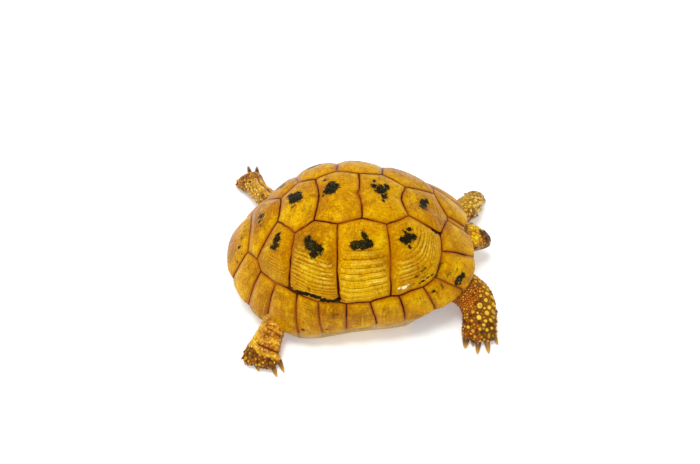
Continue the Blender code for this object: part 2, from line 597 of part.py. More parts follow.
def main():
    clear()
    horn = material("shell_horn", (0.62, 0.36, 0.02), 0.38)
    belly = material("plastron_horn", (0.60, 0.42, 0.12), 0.45)
    skin = material("skin", (0.42, 0.20, 0.05), 0.62)
    dark = material("head_skin", (0.20, 0.13, 0.05), 0.55)
    nail = material("claw_horn", (0.16, 0.09, 0.04), 0.4)
    eye = material("eye", (0.01, 0.008, 0.006), 0.08)

    carapace, _ = build_carapace(horn)
    plastron = build_plastron(belly)
    trunk = build_trunk(skin)
    shell_cut, floor_cut, trunk_cut = grown(carapace), grown(plastron), grown(trunk)

    neck, = limb(("neck",), NECK, skin, rings=6, sides=16, round_end=False)
    head = build_head(dark)
    neck_cut, head_cut = grown(neck), grown(head)
    subtract(neck, trunk_cut, shell_cut, floor_cut, head_cut)
    back, tip, t, up, side = head_frame()
    width = float(np.interp(EYE_ALONG, [h[0] for h in HEAD_FORM], [h[1] for h in HEAD_FORM]))
    for name, sign in (("eye_right", -1), ("eye_left", 1)):
        # side points to the animal's right
        centre = back + (tip - back) * EYE_ALONG - side * sign * (width - EYE_IN) * 1.0 + up * EYE_UP
        obj = ball(name, centre, EYE_RADIUS, eye)
        subtract(head, grown(obj, 0.3))

    for leg, foot, upper, lower, rings, split in (
            ("foreleg_right", "forefoot_right", FORELEG_RIGHT, FOREFOOT_RIGHT, 13, 7),
            ("foreleg_left", "forefoot_left", FORELEG_LEFT, FOREFOOT_LEFT, 13, 7),
            ("hindleg_right", "hindfoot_right", HINDLEG_RIGHT, HINDFOOT_RIGHT, 11, 5),
            ("hindleg_left", "hindfoot_left", HINDLEG_LEFT, HINDFOOT_LEFT, 11, 5)):
        shank, sole = limb((leg, foot), upper + lower, skin, rings=rings, split=split, sides=14, floors=(0.6, 0.0))
        subtract(shank, trunk_cut, shell_cut, floor_cut, *((neck_cut, head_cut) if "fore" in leg else ()))
        cut = grown(sole, 0.3)
        for k, (root, point, radius) in enumerate(CLAWS[foot]):
            nail_obj = claw(f"claw_{foot.replace('foot', '')}_{k + 1}", root, point, radius, nail)
            subtract(nail_obj, cut)
    tail, = limb(("tail",), TAIL, skin, rings=8, sides=10, floors=(0.5,))
    subtract(tail, trunk_cut, shell_cut, floor_cut)


main()
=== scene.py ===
"""Looks of the spur-thighed tortoise: horn plates with growth rings, one skin, scales, claws, eyes and beak.

Sizes in the tables are millimetres; +Z is up, the head faces -Y and the animal's right side is -X.
"""

import math

import bmesh
import bpy
import numpy as np
from mathutils import Matrix, Vector, bvhtree, kdtree, noise


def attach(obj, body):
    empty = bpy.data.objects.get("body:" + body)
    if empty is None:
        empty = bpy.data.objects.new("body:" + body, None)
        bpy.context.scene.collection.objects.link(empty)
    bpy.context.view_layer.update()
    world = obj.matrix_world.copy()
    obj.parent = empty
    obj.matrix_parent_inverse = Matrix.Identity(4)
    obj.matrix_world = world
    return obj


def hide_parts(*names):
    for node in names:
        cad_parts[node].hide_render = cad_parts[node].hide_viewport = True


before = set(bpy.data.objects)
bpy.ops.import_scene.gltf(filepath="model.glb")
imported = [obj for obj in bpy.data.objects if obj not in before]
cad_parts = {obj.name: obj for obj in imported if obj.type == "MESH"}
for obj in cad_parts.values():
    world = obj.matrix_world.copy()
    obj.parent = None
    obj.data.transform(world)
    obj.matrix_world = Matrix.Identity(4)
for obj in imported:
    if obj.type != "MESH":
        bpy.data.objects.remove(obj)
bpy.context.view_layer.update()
MM = 0.001
rng = np.random.default_rng(20)


# =============================================================================
# shell surface
# =============================================================================
SHELL_LENGTH = 180.0
SHELL_WIDTH = 140.7
SHELL_HEIGHT = 85.0
SHELL_CENTRE_Y = -2.4
RIM_POWER_FRONT, RIM_POWER_BACK = 2.53, 2.46
RIM_WAVES = (-0.0037, 0.0109, 0.0044, -0.0053, -0.0232, -0.0004, -0.0041, -0.0057)
RIM_LEVEL = (26.2, 9.1, 6.1, -0.7, 3.3)
DOME_Q = (1.90, 2.50, 2.07)
DOME_K = (0.99, 0.5275, 0.863)
NUCHAL_NOTCH = 2.4
NUCHAL_NOTCH_DEG = 4.5
EDGE_TURN = (6.0, 15.0)
EDGE_HEADING = (-192.0, -128.0)
LIP = 10.5
WALL = 4.6
BRIDGE = (60.0, 118.0, 9.0)
PLASTRON_T = 7.0
PLASTRON_INSET = ((0, 12.5), (14, 12.5), (28, 22), (42, 26), (58, 13), (66, 10), (112, 10), (120, 14),
                  (134, 25), (150, 23), (166, 19), (180, 27))

CORNER = {
    "n_in": (2.0, 0.797), "v1": (22.3, 0.670), "v12": (23.5, 0.419), "v2": (51.2, 0.333),
    "v23": (73.5, 0.228), "v3": (103.2, 0.246), "v34": (132.2, 0.269), "v4": (140.0, 0.395),
    "v45": (164.2, 0.467), "c4v5": (151.3, 0.698), "m12": (32.5, 0.707), "m23": (46.3, 0.792),
    "m34": (54.5, 0.800), "m45": (67.5, 0.790), "c12": (71.5, 0.775), "m56": (81.5, 0.793),
    "m67": (92.5, 0.780), "c23": (95.5, 0.765), "m78": (105.0, 0.750), "m89": (116.0, 0.703),
    "c34": (120.8, 0.690), "m910": (129.5, 0.705), "m1011": (143.2, 0.725), "m11s": (161.2, 0.757),
    "n_out": (2.3, 1.0), "o12": (18.8, 1.0), "o23": (37.5, 1.0), "o34": (52.5, 1.0), "o45": (66.3, 1.0),
    "o56": (79.0, 1.0), "o67": (92.5, 1.0), "o78": (103.0, 1.0), "o89": (113.3, 1.0),
    "o910": (129.3, 1.0), "o1011": (142.8, 1.0), "o11s": (160.3, 1.0),
}
# Each plate: name, corners ("-" marks the left side), the place of its areola (degrees, share), swell in mm,
# and how strong its growth rings are.
VERTEBRALS = (
    ("vertebral_1", ("n_in", "v1", "v12", "-v12", "-v1", "-n_in"), (-2.0, 0.56), 1.5, 0.55),
    ("vertebral_2", ("v12", "v2", "v23", "-v23", "-v2", "-v12"), (-8.0, 0.235), 1.2, 0.45),
    ("vertebral_3", ("v23", "v3", "v34", "-v34", "-v3", "-v23"), (196.0, 0.085), 1.2, 0.45),
    ("vertebral_4", ("v34", "v4", "v45", "-v45", "-v4", "-v34"), (188.0, 0.33), 1.3, 0.45),
    ("vertebral_5", ("v45", "c4v5", "m11s", "-m11s", "-c4v5", "-v45"), (180.0, 0.59), 2.0, 0.5),
)
COSTALS = (
    ("costal_1", ("v1", "m12", "m23", "m34", "m45", "c12", "v2", "v12"), (45.5, 0.49), 1.5, 1.0),
    ("costal_2", ("v2", "c12", "m56", "m67", "c23", "v3", "v23"), (81.5, 0.40), 1.4, 1.0),
    ("costal_3", ("v3", "c23", "m78", "m89", "c34", "v4", "v34"), (117.0, 0.41), 1.5, 1.0),
    ("costal_4", ("v4", "c34", "m910", "m1011", "c4v5", "v45"), (145.5, 0.52), 1.6, 0.7),
)
MARGINALS = (
    ("marginal_1", ("n_in", "n_out", "o12", "m12", "v1"), (8.0, 0.93), 0.9, 0.3),
    ("marginal_2", ("m12", "o12", "o23", "m23"), (32.0, 0.93), 1.0, 0.5),
    ("marginal_3", ("m23", "o23", "o34", "m34"), (47.0, 0.95), 0.8, 0.5),
    ("marginal_4", ("m34", "o34", "o45", "m45"), (61.0, 0.95), 0.7, 0.5),
    ("marginal_5", ("m45", "o45", "o56", "m56", "c12"), (75.0, 0.95), 0.7, 0.6),
    ("marginal_6", ("m56", "o56", "o67", "m67"), (88.0, 0.95), 0.7, 0.6),
    ("marginal_7", ("m67", "o67", "o78", "m78", "c23"), (100.0, 0.95), 0.7, 0.6),
    ("marginal_8", ("m78", "o78", "o89", "m89"), (110.5, 0.95), 0.8, 0.9),
    ("marginal_9", ("m89", "o89", "o910", "m910", "c34"), (125.0, 0.94), 1.0, 0.9),
    ("marginal_10", ("m910", "o910", "o1011", "m1011"), (138.5, 0.93), 1.1, 0.7),
    ("marginal_11", ("m1011", "o1011", "o11s", "m11s", "c4v5"), (154.0, 0.92), 1.2, 0.6),
)
NUCHAL = ("nuchal", ("-n_in", "-n_out", "n_out", "n_in"), (0.0, 0.90), 0.3, 0.2)
SUPRACAUDAL = ("supracaudal", ("m11s", "o11s", "-o11s", "-m11s"), (180.0, 0.90), 2.4, 0.4)

# Black areola blotches: plate, lobes of (degrees, share, half size along the rim mm, half size towards the crown mm, weight).
# Plates that are lighter or darker than the rest.
TONES = {"costal_4_right": -0.30, "costal_3_right": -0.12, "vertebral_2": 0.18, "marginal_3_right": -0.12, "marginal_7_right": -0.12, "vertebral_3": 0.06}

BLOTCHES = (
    ("costal_1_right", ((46.5, 0.480, 5.4, 3.6, 1.0), (51.0, 0.463, 2.6, 2.6, 0.9), (42.0, 0.497, 2.8, 2.8, 0.9), (50.0, 0.525, 1.5, 2.6, 0.72),
                        (39.5, 0.445, 2.8, 3.2, 0.60), (44.5, 0.440, 1.6, 3.0, 0.60))),
    ("costal_2_right", ((82.0, 0.407, 6.6, 3.4, 1.1), (86.4, 0.400, 4.0, 3.4, 1.05), (77.2, 0.407, 4.2, 3.6, 1.05), (78.0, 0.352, 2.6, 4.2, 0.80),
                        (84.0, 0.362, 2.6, 1.6, 0.36), (75.5, 0.372, 1.4, 1.8, 0.5))),
    ("costal_3_right", ((123.0, 0.378, 2.8, 3.2, 0.95), (118.5, 0.402, 4.6, 4.2, 1.05), (112.4, 0.420, 5.0, 4.0, 1.05), (113.5, 0.453, 3.0, 2.6, 0.85),
                        (109.6, 0.414, 2.4, 2.4, 0.75))),
    ("costal_4_right", ((147.0, 0.508, 3.2, 4.2, 0.88), (143.6, 0.530, 3.2, 3.8, 0.84), (150.0, 0.480, 1.8, 3.2, 0.74), (146.0, 0.556, 2.4, 2.6, 0.70))),
    ("vertebral_1", ((-2.0, 0.570, 4.6, 4.4, 0.92), (3.5, 0.547, 3.0, 3.2, 0.74), (-6.5, 0.590, 3.2, 2.8, 0.70), (5.0, 0.575, 2.4, 2.2, 0.60))),
    ("vertebral_2", ((-12.0, 0.222, 5.4, 5.0, 1.0), (-24.0, 0.175, 3.2, 2.6, 0.8), (-20.0, 0.265, 3.6, 2.8, 0.85), (7.0, 0.246, 3.2, 3.2, 0.80),
                     (20.0, 0.230, 2.0, 2.0, 0.52), (-2.0, 0.265, 2.4, 2.0, 0.6), (-40.0, 0.200, 2.0, 2.0, 0.6))),
    ("vertebral_3", ((202.0, 0.112, 6.0, 5.2, 1.0), (216.0, 0.090, 4.4, 3.8, 0.95), (190.0, 0.132, 3.6, 3.2, 0.80), (228.0, 0.125, 3.2, 3.0, 0.8),
                     (229.0, 0.188, 1.8, 2.2, 0.6), (176.0, 0.155, 2.2, 2.4, 0.55))),
    ("vertebral_4", ((187.0, 0.335, 5.6, 6.0, 1.05), (184.0, 0.310, 4.6, 4.2, 0.92), (182.0, 0.350, 4.0, 4.0, 0.84), (192.0, 0.372, 3.0, 3.4, 0.80))),
    ("vertebral_5", ((180.0, 0.588, 2.8, 3.6, 0.90), (175.0, 0.600, 2.0, 2.4, 0.62), (183.0, 0.600, 1.6, 2.0, 0.55))),
    ("costal_1_left", ((-54.0, 0.600, 6.2, 4.2, 0.95),)),
    ("costal_2_left", ((-82.5, 0.480, 7.0, 4.6, 1.0),)),
    ("costal_3_left", ((-115.0, 0.455, 6.6, 5.0, 1.05),)),
    ("costal_4_left", ((-143.5, 0.525, 4.2, 4.4, 0.9),)),
    ("marginal_2_right", ((36.2, 0.918, 3.0, 3.6, 1.0), (33.6, 0.925, 2.2, 2.6, 0.85), (38.8, 0.922, 2.0, 2.8, 0.85), (37.0, 0.950, 2.0, 1.8, 0.75))),
    ("supracaudal", ((168.8, 0.812, 1.5, 2.4, 0.92), (179.0, 0.772, 1.1, 1.2, 0.66), (173.8, 0.785, 1.1, 1.1, 0.62), (164.0, 0.812, 0.9, 1.0, 0.55), (183.5, 0.770, 1.0, 1.0, 0.58),
                     (169.5, 0.860, 0.9, 1.2, 0.5), (176.0, 0.800, 0.8, 0.9, 0.5))),
    ("marginal_4_right", ((72.5, 0.848, 1.3, 1.2, 0.62), (78.0, 0.870, 1.1, 1.3, 0.62), (75.2, 0.863, 1.0, 1.0, 0.5))),
    ("marginal_3_right", ((51.0, 0.858, 1.6, 1.3, 0.62), (59.8, 0.800, 1.0, 1.2, 0.45))),
    ("marginal_5_right", ((87.8, 0.955, 1.2, 1.3, 0.66), (90.0, 0.878, 1.3, 1.0, 0.58), (85.5, 0.905, 1.0, 1.5, 0.55))),
    ("marginal_6_right", ((94.0, 0.790, 1.4, 1.1, 0.6), (97.8, 0.855, 1.5, 1.4, 0.66), (99.5, 0.922, 1.2, 1.2, 0.55), (98.3, 0.820, 1.1, 1.2, 0.58))),
    ("marginal_7_right", ((101.0, 0.978, 1.3, 1.0, 0.75),)),
    ("marginal_8_right", ((111.0, 0.966, 1.6, 1.4, 0.85),)),
    ("marginal_10_left", ((-136.0, 0.88, 4.2, 3.4, 0.8),)),
    ("marginal_9_left", ((-124.0, 0.86, 4.4, 3.4, 0.85),)),
    ("marginal_6_left", ((-90.0, 0.84, 5.0, 4.0, 1.0), (-94.0, 0.80, 3.0, 3.0, 0.8))),
    ("marginal_7_left", ((-97.5, 0.83, 3.6, 3.6, 0.9),)),
    ("marginal_4_left", ((-68.0, 0.84, 4.2, 3.2, 0.9),)),
    ("marginal_3_left", ((-52.0, 0.86, 3.6, 3.0, 0.7),)),
)
# Grey-brown smears and worn streaks: degrees, share, half sizes, weight.
SMEARS = (
    (110.5, 0.640, 2.6, 8.0, 0.30), (104.5, 0.650, 2.2, 8.0, 0.40), (118.0, 0.600, 2.2, 6.0, 0.34), (139.0, 0.640, 5.0, 5.0, 0.34), (60.0, 0.860, 4.6, 2.6, 0.40), (28.0, 0.820, 3.0, 5.0, 0.34),
    (168.0, 0.345, 4.6, 3.4, 0.50), (176.0, 0.155, 3.4, 3.0, 0.50), (169.5, 0.578, 3.4, 5.0, 0.50), (39.8, 0.828, 3.6, 2.8, 0.62), (50.5, 0.695, 4.0, 1.8, 0.70),
    (55.5, 0.710, 4.0, 1.6, 0.70), (43.5, 0.465, 2.6, 2.6, 0.45), (75.2, 0.863, 4.6, 2.4, 0.55), (90.0, 0.885, 4.2, 2.6, 0.55), (98.0, 0.860, 3.6, 4.2, 0.62),
    (172.0, 0.800, 4.0, 3.0, 0.40), (51.0, 0.858, 3.0, 2.0, 0.60), (69.0, 0.815, 4.2, 1.6, 0.45), (41.6, 0.745, 2.2, 4.0, 0.55), (32.0, 0.735, 3.2, 1.6, 0.40),
    (51.0, 0.733, 5.0, 2.2, 0.75), (58.0, 0.742, 5.0, 1.6, 0.55), (45.0, 0.705, 6.5, 2.0, 0.50), (50.0, 0.690, 5.0, 1.8, 0.42), (40.5, 0.745, 5.0, 2.0, 0.85),
    (46.0, 0.783, 4.4, 1.6, 0.95), (36.5, 0.86, 6.5, 1.6, 0.55), (33.0, 0.90, 7.5, 1.8, 0.50), (113.0, 0.693, 4.2, 1.2, 1.1), (108.0, 0.706, 4.6, 1.2, 1.1),
    (102.5, 0.743, 4.6, 1.3, 1.0), (97.5, 0.760, 3.4, 1.2, 0.9), (122.0, 0.676, 6.0, 1.1, 0.8), (46.0, 0.86, 2.4, 3.0, 0.60), (128.0, 0.690, 6.0, 1.0, 0.6),
    (98.0, 0.90, 4.6, 2.2, 0.45), (86.0, 0.90, 4.8, 2.0, 0.45), (73.0, 0.885, 4.8, 2.0, 0.48), (179.0, 0.645, 5.0, 6.0, 0.40), (176.0, 0.60, 3.5, 7.0, 0.36),
    (63.0, 0.975, 5.4, 1.2, 0.6), (10.0, 0.90, 5.0, 3.0, 0.30), (163.0, 0.87, 3.2, 4.0, 0.45), (100.0, 0.968, 4.4, 1.6, 0.6), (146.0, 0.86, 4.0, 3.0, 0.30),
)


# Ragged gaps at the plates' borders, as above; they are painted near black as painted shade.
GAPS = (
    (116.0, 0.688, 2.6, 1.2, 1.0), (114.0, 0.692, 3.0, 1.6, 1.15), (111.0, 0.694, 3.0, 1.6, 1.15), (108.0, 0.700, 3.0, 1.5, 1.15), (105.5, 0.714, 3.0, 1.5, 1.15),
    (103.0, 0.731, 3.0, 1.6, 1.15), (100.5, 0.742, 3.0, 1.6, 1.15), (98.0, 0.748, 3.0, 1.5, 1.15), (96.0, 0.735, 2.4, 1.6, 1.0), (119.5, 0.676, 2.6, 0.9, 0.7),
    (23.2, 0.628, 1.6, 1.6, 1.0), (22.5, 0.662, 1.5, 1.6, 1.0), (23.5, 0.603, 1.2, 1.4, 0.9), (21.2, 0.662, 1.4, 1.2, 0.9),
    (53.5, 0.760, 2.2, 0.9, 0.9), (50.5, 0.758, 2.2, 0.9, 0.9), (47.5, 0.760, 2.0, 0.8, 0.8), (55.5, 0.763, 1.4, 0.7, 0.8), (146.0, 0.800, 2.0, 0.8, 0.5),
)
# Where the seams are heavy and dark.
HEAVY_SEAMS = (
    (127.0, 0.540, 3.5, 6.0, 1.0), (122.5, 0.605, 3.5, 5.0, 1.0), (119.5, 0.670, 3.5, 5.0, 1.0), (96.5, 0.640, 3.0, 7.0, 1.0), (42.0, 0.770, 6.0, 3.0, 0.8),
    (108.0, 0.706, 12.0, 3.0, 0.8), (52.0, 0.758, 9.0, 2.5, 0.8), (0.0, 0.420, 9.0, 3.0, 0.6), (22.0, 0.640, 3.0, 6.0, 0.8),
)
# Painted highlight: white glints on a spot worn smooth above the third plate of the rim.
GLINT_SPOTS = ((63.8, 0.743, 2.6, 1.8, 1.0), (61.2, 0.738, 1.8, 1.2, 0.8), (66.5, 0.740, 1.8, 1.0, 0.7))
# Painted highlight: where the pale lines on the growth rings are broad and bright.
HIGHLIGHT_BANDS = ((84.0, 0.590, 13.0, 11.0, 1.0), (77.0, 0.650, 9.0, 8.0, 0.9), (104.0, 0.560, 7.0, 9.0, 0.8), (112.0, 0.530, 7.0, 7.0, 0.6), (60.0, 0.640, 7.0, 7.0, 0.5), (40.0, 0.600, 6.0, 6.0, 0.5))


def by_part(theta, front, side, back):
    c = np.cos(theta)
    return side + (front - side) * np.clip(c, 0, 1) ** 1.5 + (back - side) * np.clip(-c, 0, 1) ** 1.5


def rim(theta):
    s, c = np.abs(np.sin(theta)), -np.cos(theta)
    n = np.where(c < 0, RIM_POWER_FRONT, RIM_POWER_BACK)
    r = 1 / ((s ** n + np.abs(c) ** n) ** (1 / n))
    r = r * (1 + sum(g * np.cos((i + 1) * theta) for i, g in enumerate(RIM_WAVES)))
    away = np.degrees(np.minimum(np.abs(theta), 2 * math.pi - np.abs(theta)))
    notch = 1 - NUCHAL_NOTCH / 90 * np.exp(-((away / NUCHAL_NOTCH_DEG) ** 2))
    x = np.sin(theta) * SHELL_WIDTH / 2 * r * notch
    y = SHELL_CENTRE_Y + c * SHELL_LENGTH / 2 * r * notch
    return x, y, sum(z * np.cos(i * theta) for i, z in enumerate(RIM_LEVEL))


def dome_z(theta, share):
    _, _, zr = rim(theta)
    return zr + (SHELL_HEIGHT - zr) * np.clip(1 - share ** by_part(theta, *DOME_Q), 0, 1) ** by_part(theta, *DOME_K)


def half_turn(theta):
    w = np.mod(theta, 2 * math.pi)
    return np.minimum(w, 2 * math.pi - w)


def blend_of_bridge(theta):
    deg = np.degrees(half_turn(theta))
    a = np.clip((deg - BRIDGE[0] + BRIDGE[2] / 2) / BRIDGE[2], 0, 1)
    b = np.clip((BRIDGE[1] + BRIDGE[2] / 2 - deg) / BRIDGE[2], 0, 1)
    w = np.minimum(a, b)
    return w * w * (3 - 2 * w)


TABLE_THETA = np.radians(np.arange(0, 181, 1.0))
SHARES = 1 - (1 - np.linspace(0, 1, 601)) ** 2.5
ARC = []
for _t in TABLE_THETA:
    _x, _y, _ = rim(_t)
    _rho = math.hypot(_x, _y - SHELL_CENTRE_Y)
    _z = dome_z(_t, SHARES)
    ARC.append(np.r_[0, np.cumsum(np.hypot(np.diff(SHARES) * _rho, np.diff(_z)))])
ARC_LENGTH = np.array([a[-1] for a in ARC])
SHARE_AT = np.array([np.interp(np.linspace(0, 1, 401), a / a[-1], SHARES) for a in ARC])


def shell(theta, r):
    """Points of the shell at these angles and shares of the way to the rim, beyond 1 round its edge."""
    theta, r = np.broadcast_arrays(np.asarray(theta, float), np.asarray(r, float))
    wrapped = np.mod(theta, 2 * math.pi)
    half = np.minimum(wrapped, 2 * math.pi - wrapped)
    f = half / TABLE_THETA[1]
    i = np.clip(f.astype(int), 0, len(TABLE_THETA) - 2)
    f = f - i
    g = np.clip(r, 0, 1) * 400
    j = np.clip(g.astype(int), 0, 399)
    g = g - j
    share = ((1 - f) * ((1 - g) * SHARE_AT[i, j] + g * SHARE_AT[i, j + 1])
             + f * ((1 - g) * SHARE_AT[i + 1, j] + g * SHARE_AT[i + 1, j + 1]))
    arc = (1 - f) * ARC_LENGTH[i] + f * ARC_LENGTH[i + 1]
    x, y, zr = rim(half)
    rho = np.hypot(x, y - SHELL_CENTRE_Y)
    ux, uy = x / rho, (y - SHELL_CENTRE_Y) / rho
    out, up = rho * share, dome_z(half, share)
    start = np.arctan2(zr - dome_z(half, 0.97), rho * 0.03)
    b = blend_of_bridge(half)
    turn = EDGE_TURN[0] + (EDGE_TURN[1] - EDGE_TURN[0]) * b
    end = np.radians(EDGE_HEADING[0] + (EDGE_HEADING[1] - EDGE_HEADING[0]) * b)
    s = np.maximum(r - 1, 0) * arc
    k = (end - start) / turn
    in_turn = np.minimum(s, turn)
    now = start + k * in_turn
    out = out + (np.sin(now) - np.sin(start)) / k + np.cos(end) * (s - in_turn)
    up = up - (np.cos(now) - np.cos(start)) / k + np.sin(end) * (s - in_turn)
    side = np.where(wrapped <= math.pi, -1.0, 1.0)
    return np.stack([side * ux * out, SHELL_CENTRE_Y + uy * out, up], -1)


def shell_normal(theta, r):
    e = 0.004
    a = shell(theta, np.maximum(r, 0.01) + e) - shell(theta, np.maximum(r, 0.01) - e)
    b = shell(theta + e, np.maximum(r, 0.01)) - shell(theta - e, np.maximum(r, 0.01))
    n = np.cross(b, a)
    n /= np.linalg.norm(n, axis=-1, keepdims=True) + 1e-12
    return n


def lip_share(theta):
    return 1 + LIP / np.interp(half_turn(theta), TABLE_THETA, ARC_LENGTH)


def flat(deg, r):
    t = math.radians(deg)
    return np.array([-r * math.sin(t), -r * math.cos(t)])


def unflat(p):
    return np.mod(np.arctan2(-p[..., 0], -p[..., 1]), 2 * math.pi), np.hypot(p[..., 0], p[..., 1])


# =============================================================================
# noise in numpy: the same values each run
# =============================================================================
_PERM = np.random.default_rng(7).permutation(512).astype(np.int64)
_VALS = np.random.default_rng(8).uniform(-1, 1, 512)


def value_noise(p, seed=0):
    """Smooth noise of the rows of p, between -1 and 1."""
    p = np.asarray(p, float)
    i = np.floor(p).astype(np.int64)
    f = p - i
    f = f * f * f * (f * (f * 6 - 15) + 10)
    dims = p.shape[-1]
    total = 0
    for corner in range(2 ** dims):
        bits = [(corner >> d) & 1 for d in range(dims)]
        h = np.full(p.shape[:-1], seed, np.int64)
        w = np.ones(p.shape[:-1])
        for d, b in enumerate(bits):
            h = _PERM[(h + i[..., d] + b) & 511]
            w = w * (f[..., d] if b else 1 - f[..., d])
        total = total + w * _VALS[h]
    return total


def fractal(p, seed=0, octaves=3):
    total, scale, top = 0, 1.0, 0
    for k in range(octaves):
        total = total + scale * value_noise(np.asarray(p) * 2 ** k + 17.3 * k, seed + k)
        top += scale
        scale *= 0.5
    return total / top


def smooth_step(x, a, b):
    t = np.clip((x - a) / (b - a), 0, 1)
    return t * t * (3 - 2 * t)


# =============================================================================
# mesh building
# =============================================================================
def build(name, points, faces, mat, attributes=None, uv=None, smooth=True, link=True):
    """An object from points in mm and lists of equal-sided faces, with float attributes on its points and a map of corners."""
    me = bpy.data.meshes.new(name)
    points = np.asarray(points, np.float32) * MM
    groups = [np.asarray(f, np.int32) for f in faces if len(f)]
    loops = np.concatenate([g.ravel() for g in groups])
    sizes = np.concatenate([np.full(len(g), g.shape[1], np.int32) for g in groups])
    starts = np.concatenate([[0], np.cumsum(sizes)[:-1]]).astype(np.int32)
    me.vertices.add(len(points))
    me.vertices.foreach_set("co", points.ravel())
    me.loops.add(len(loops))
    me.loops.foreach_set("vertex_index", loops)
    me.polygons.add(len(sizes))
    me.polygons.foreach_set("loop_start", starts)
    me.update(calc_edges=True)
    for key, values in (attributes or {}).items():
        a = me.attributes.new(key, "FLOAT", "POINT")
        a.data.foreach_set("value", np.asarray(values, np.float32))
    if uv is not None:
        layer = me.uv_layers.new(name="OFBake")
        corner = np.asarray(uv, np.float32)
        if len(corner) == len(points):
            corner = corner[loops]
        layer.data.foreach_set("uv", corner.ravel())
    me.validate(clean_customdata=False)
    me.polygons.foreach_set("use_smooth", np.full(len(me.polygons), smooth))
    me.materials.append(mat)
    obj = bpy.data.objects.new(name, me)
    if link:
        bpy.context.scene.collection.objects.link(obj)
    return obj


def grid_faces(rows, cols, wrap=True, offset=0):
    """Quads of a grid of rows x cols points."""
    i, j = np.meshgrid(np.arange(rows - 1), np.arange(cols if wrap else cols - 1), indexing="ij")
    i, j = i.ravel(), j.ravel()
    k = (j + 1) % cols
    return offset + np.stack([i * cols + j, i * cols + k, (i + 1) * cols + k, (i + 1) * cols + j], 1)


def joined(parts):
    """One set of points, faces, attributes and map from several."""
    points, quads, tris, attrs, uvs, at = [], [], [], {}, [], 0
    for p in parts:
        points.append(p["points"])
        for f in p["faces"]:
            if len(f):
                (quads if f.shape[1] == 4 else tris).append(f + at)
        for k, v in p["attributes"].items():
            attrs.setdefault(k, []).append(v)
        if p.get("uv") is not None:
            uvs.append(p["uv"])
        at += len(p["points"])
    faces = [np.concatenate(g) for g in (quads, tris) if g]
    return (np.concatenate(points), faces, {k: np.concatenate(v) for k, v in attrs.items()},
            np.concatenate(uvs) if uvs else None)


def place(obj, nodes, slot):
    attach(obj, "root")
    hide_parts(*nodes)
    return obj


# =============================================================================
# materials
# =============================================================================
def srgb(*c):
    c = np.array(c, float) / 255
    return tuple(np.where(c <= 0.04045, c / 12.92, ((c + 0.055) / 1.055) ** 2.4)) + (1.0,)


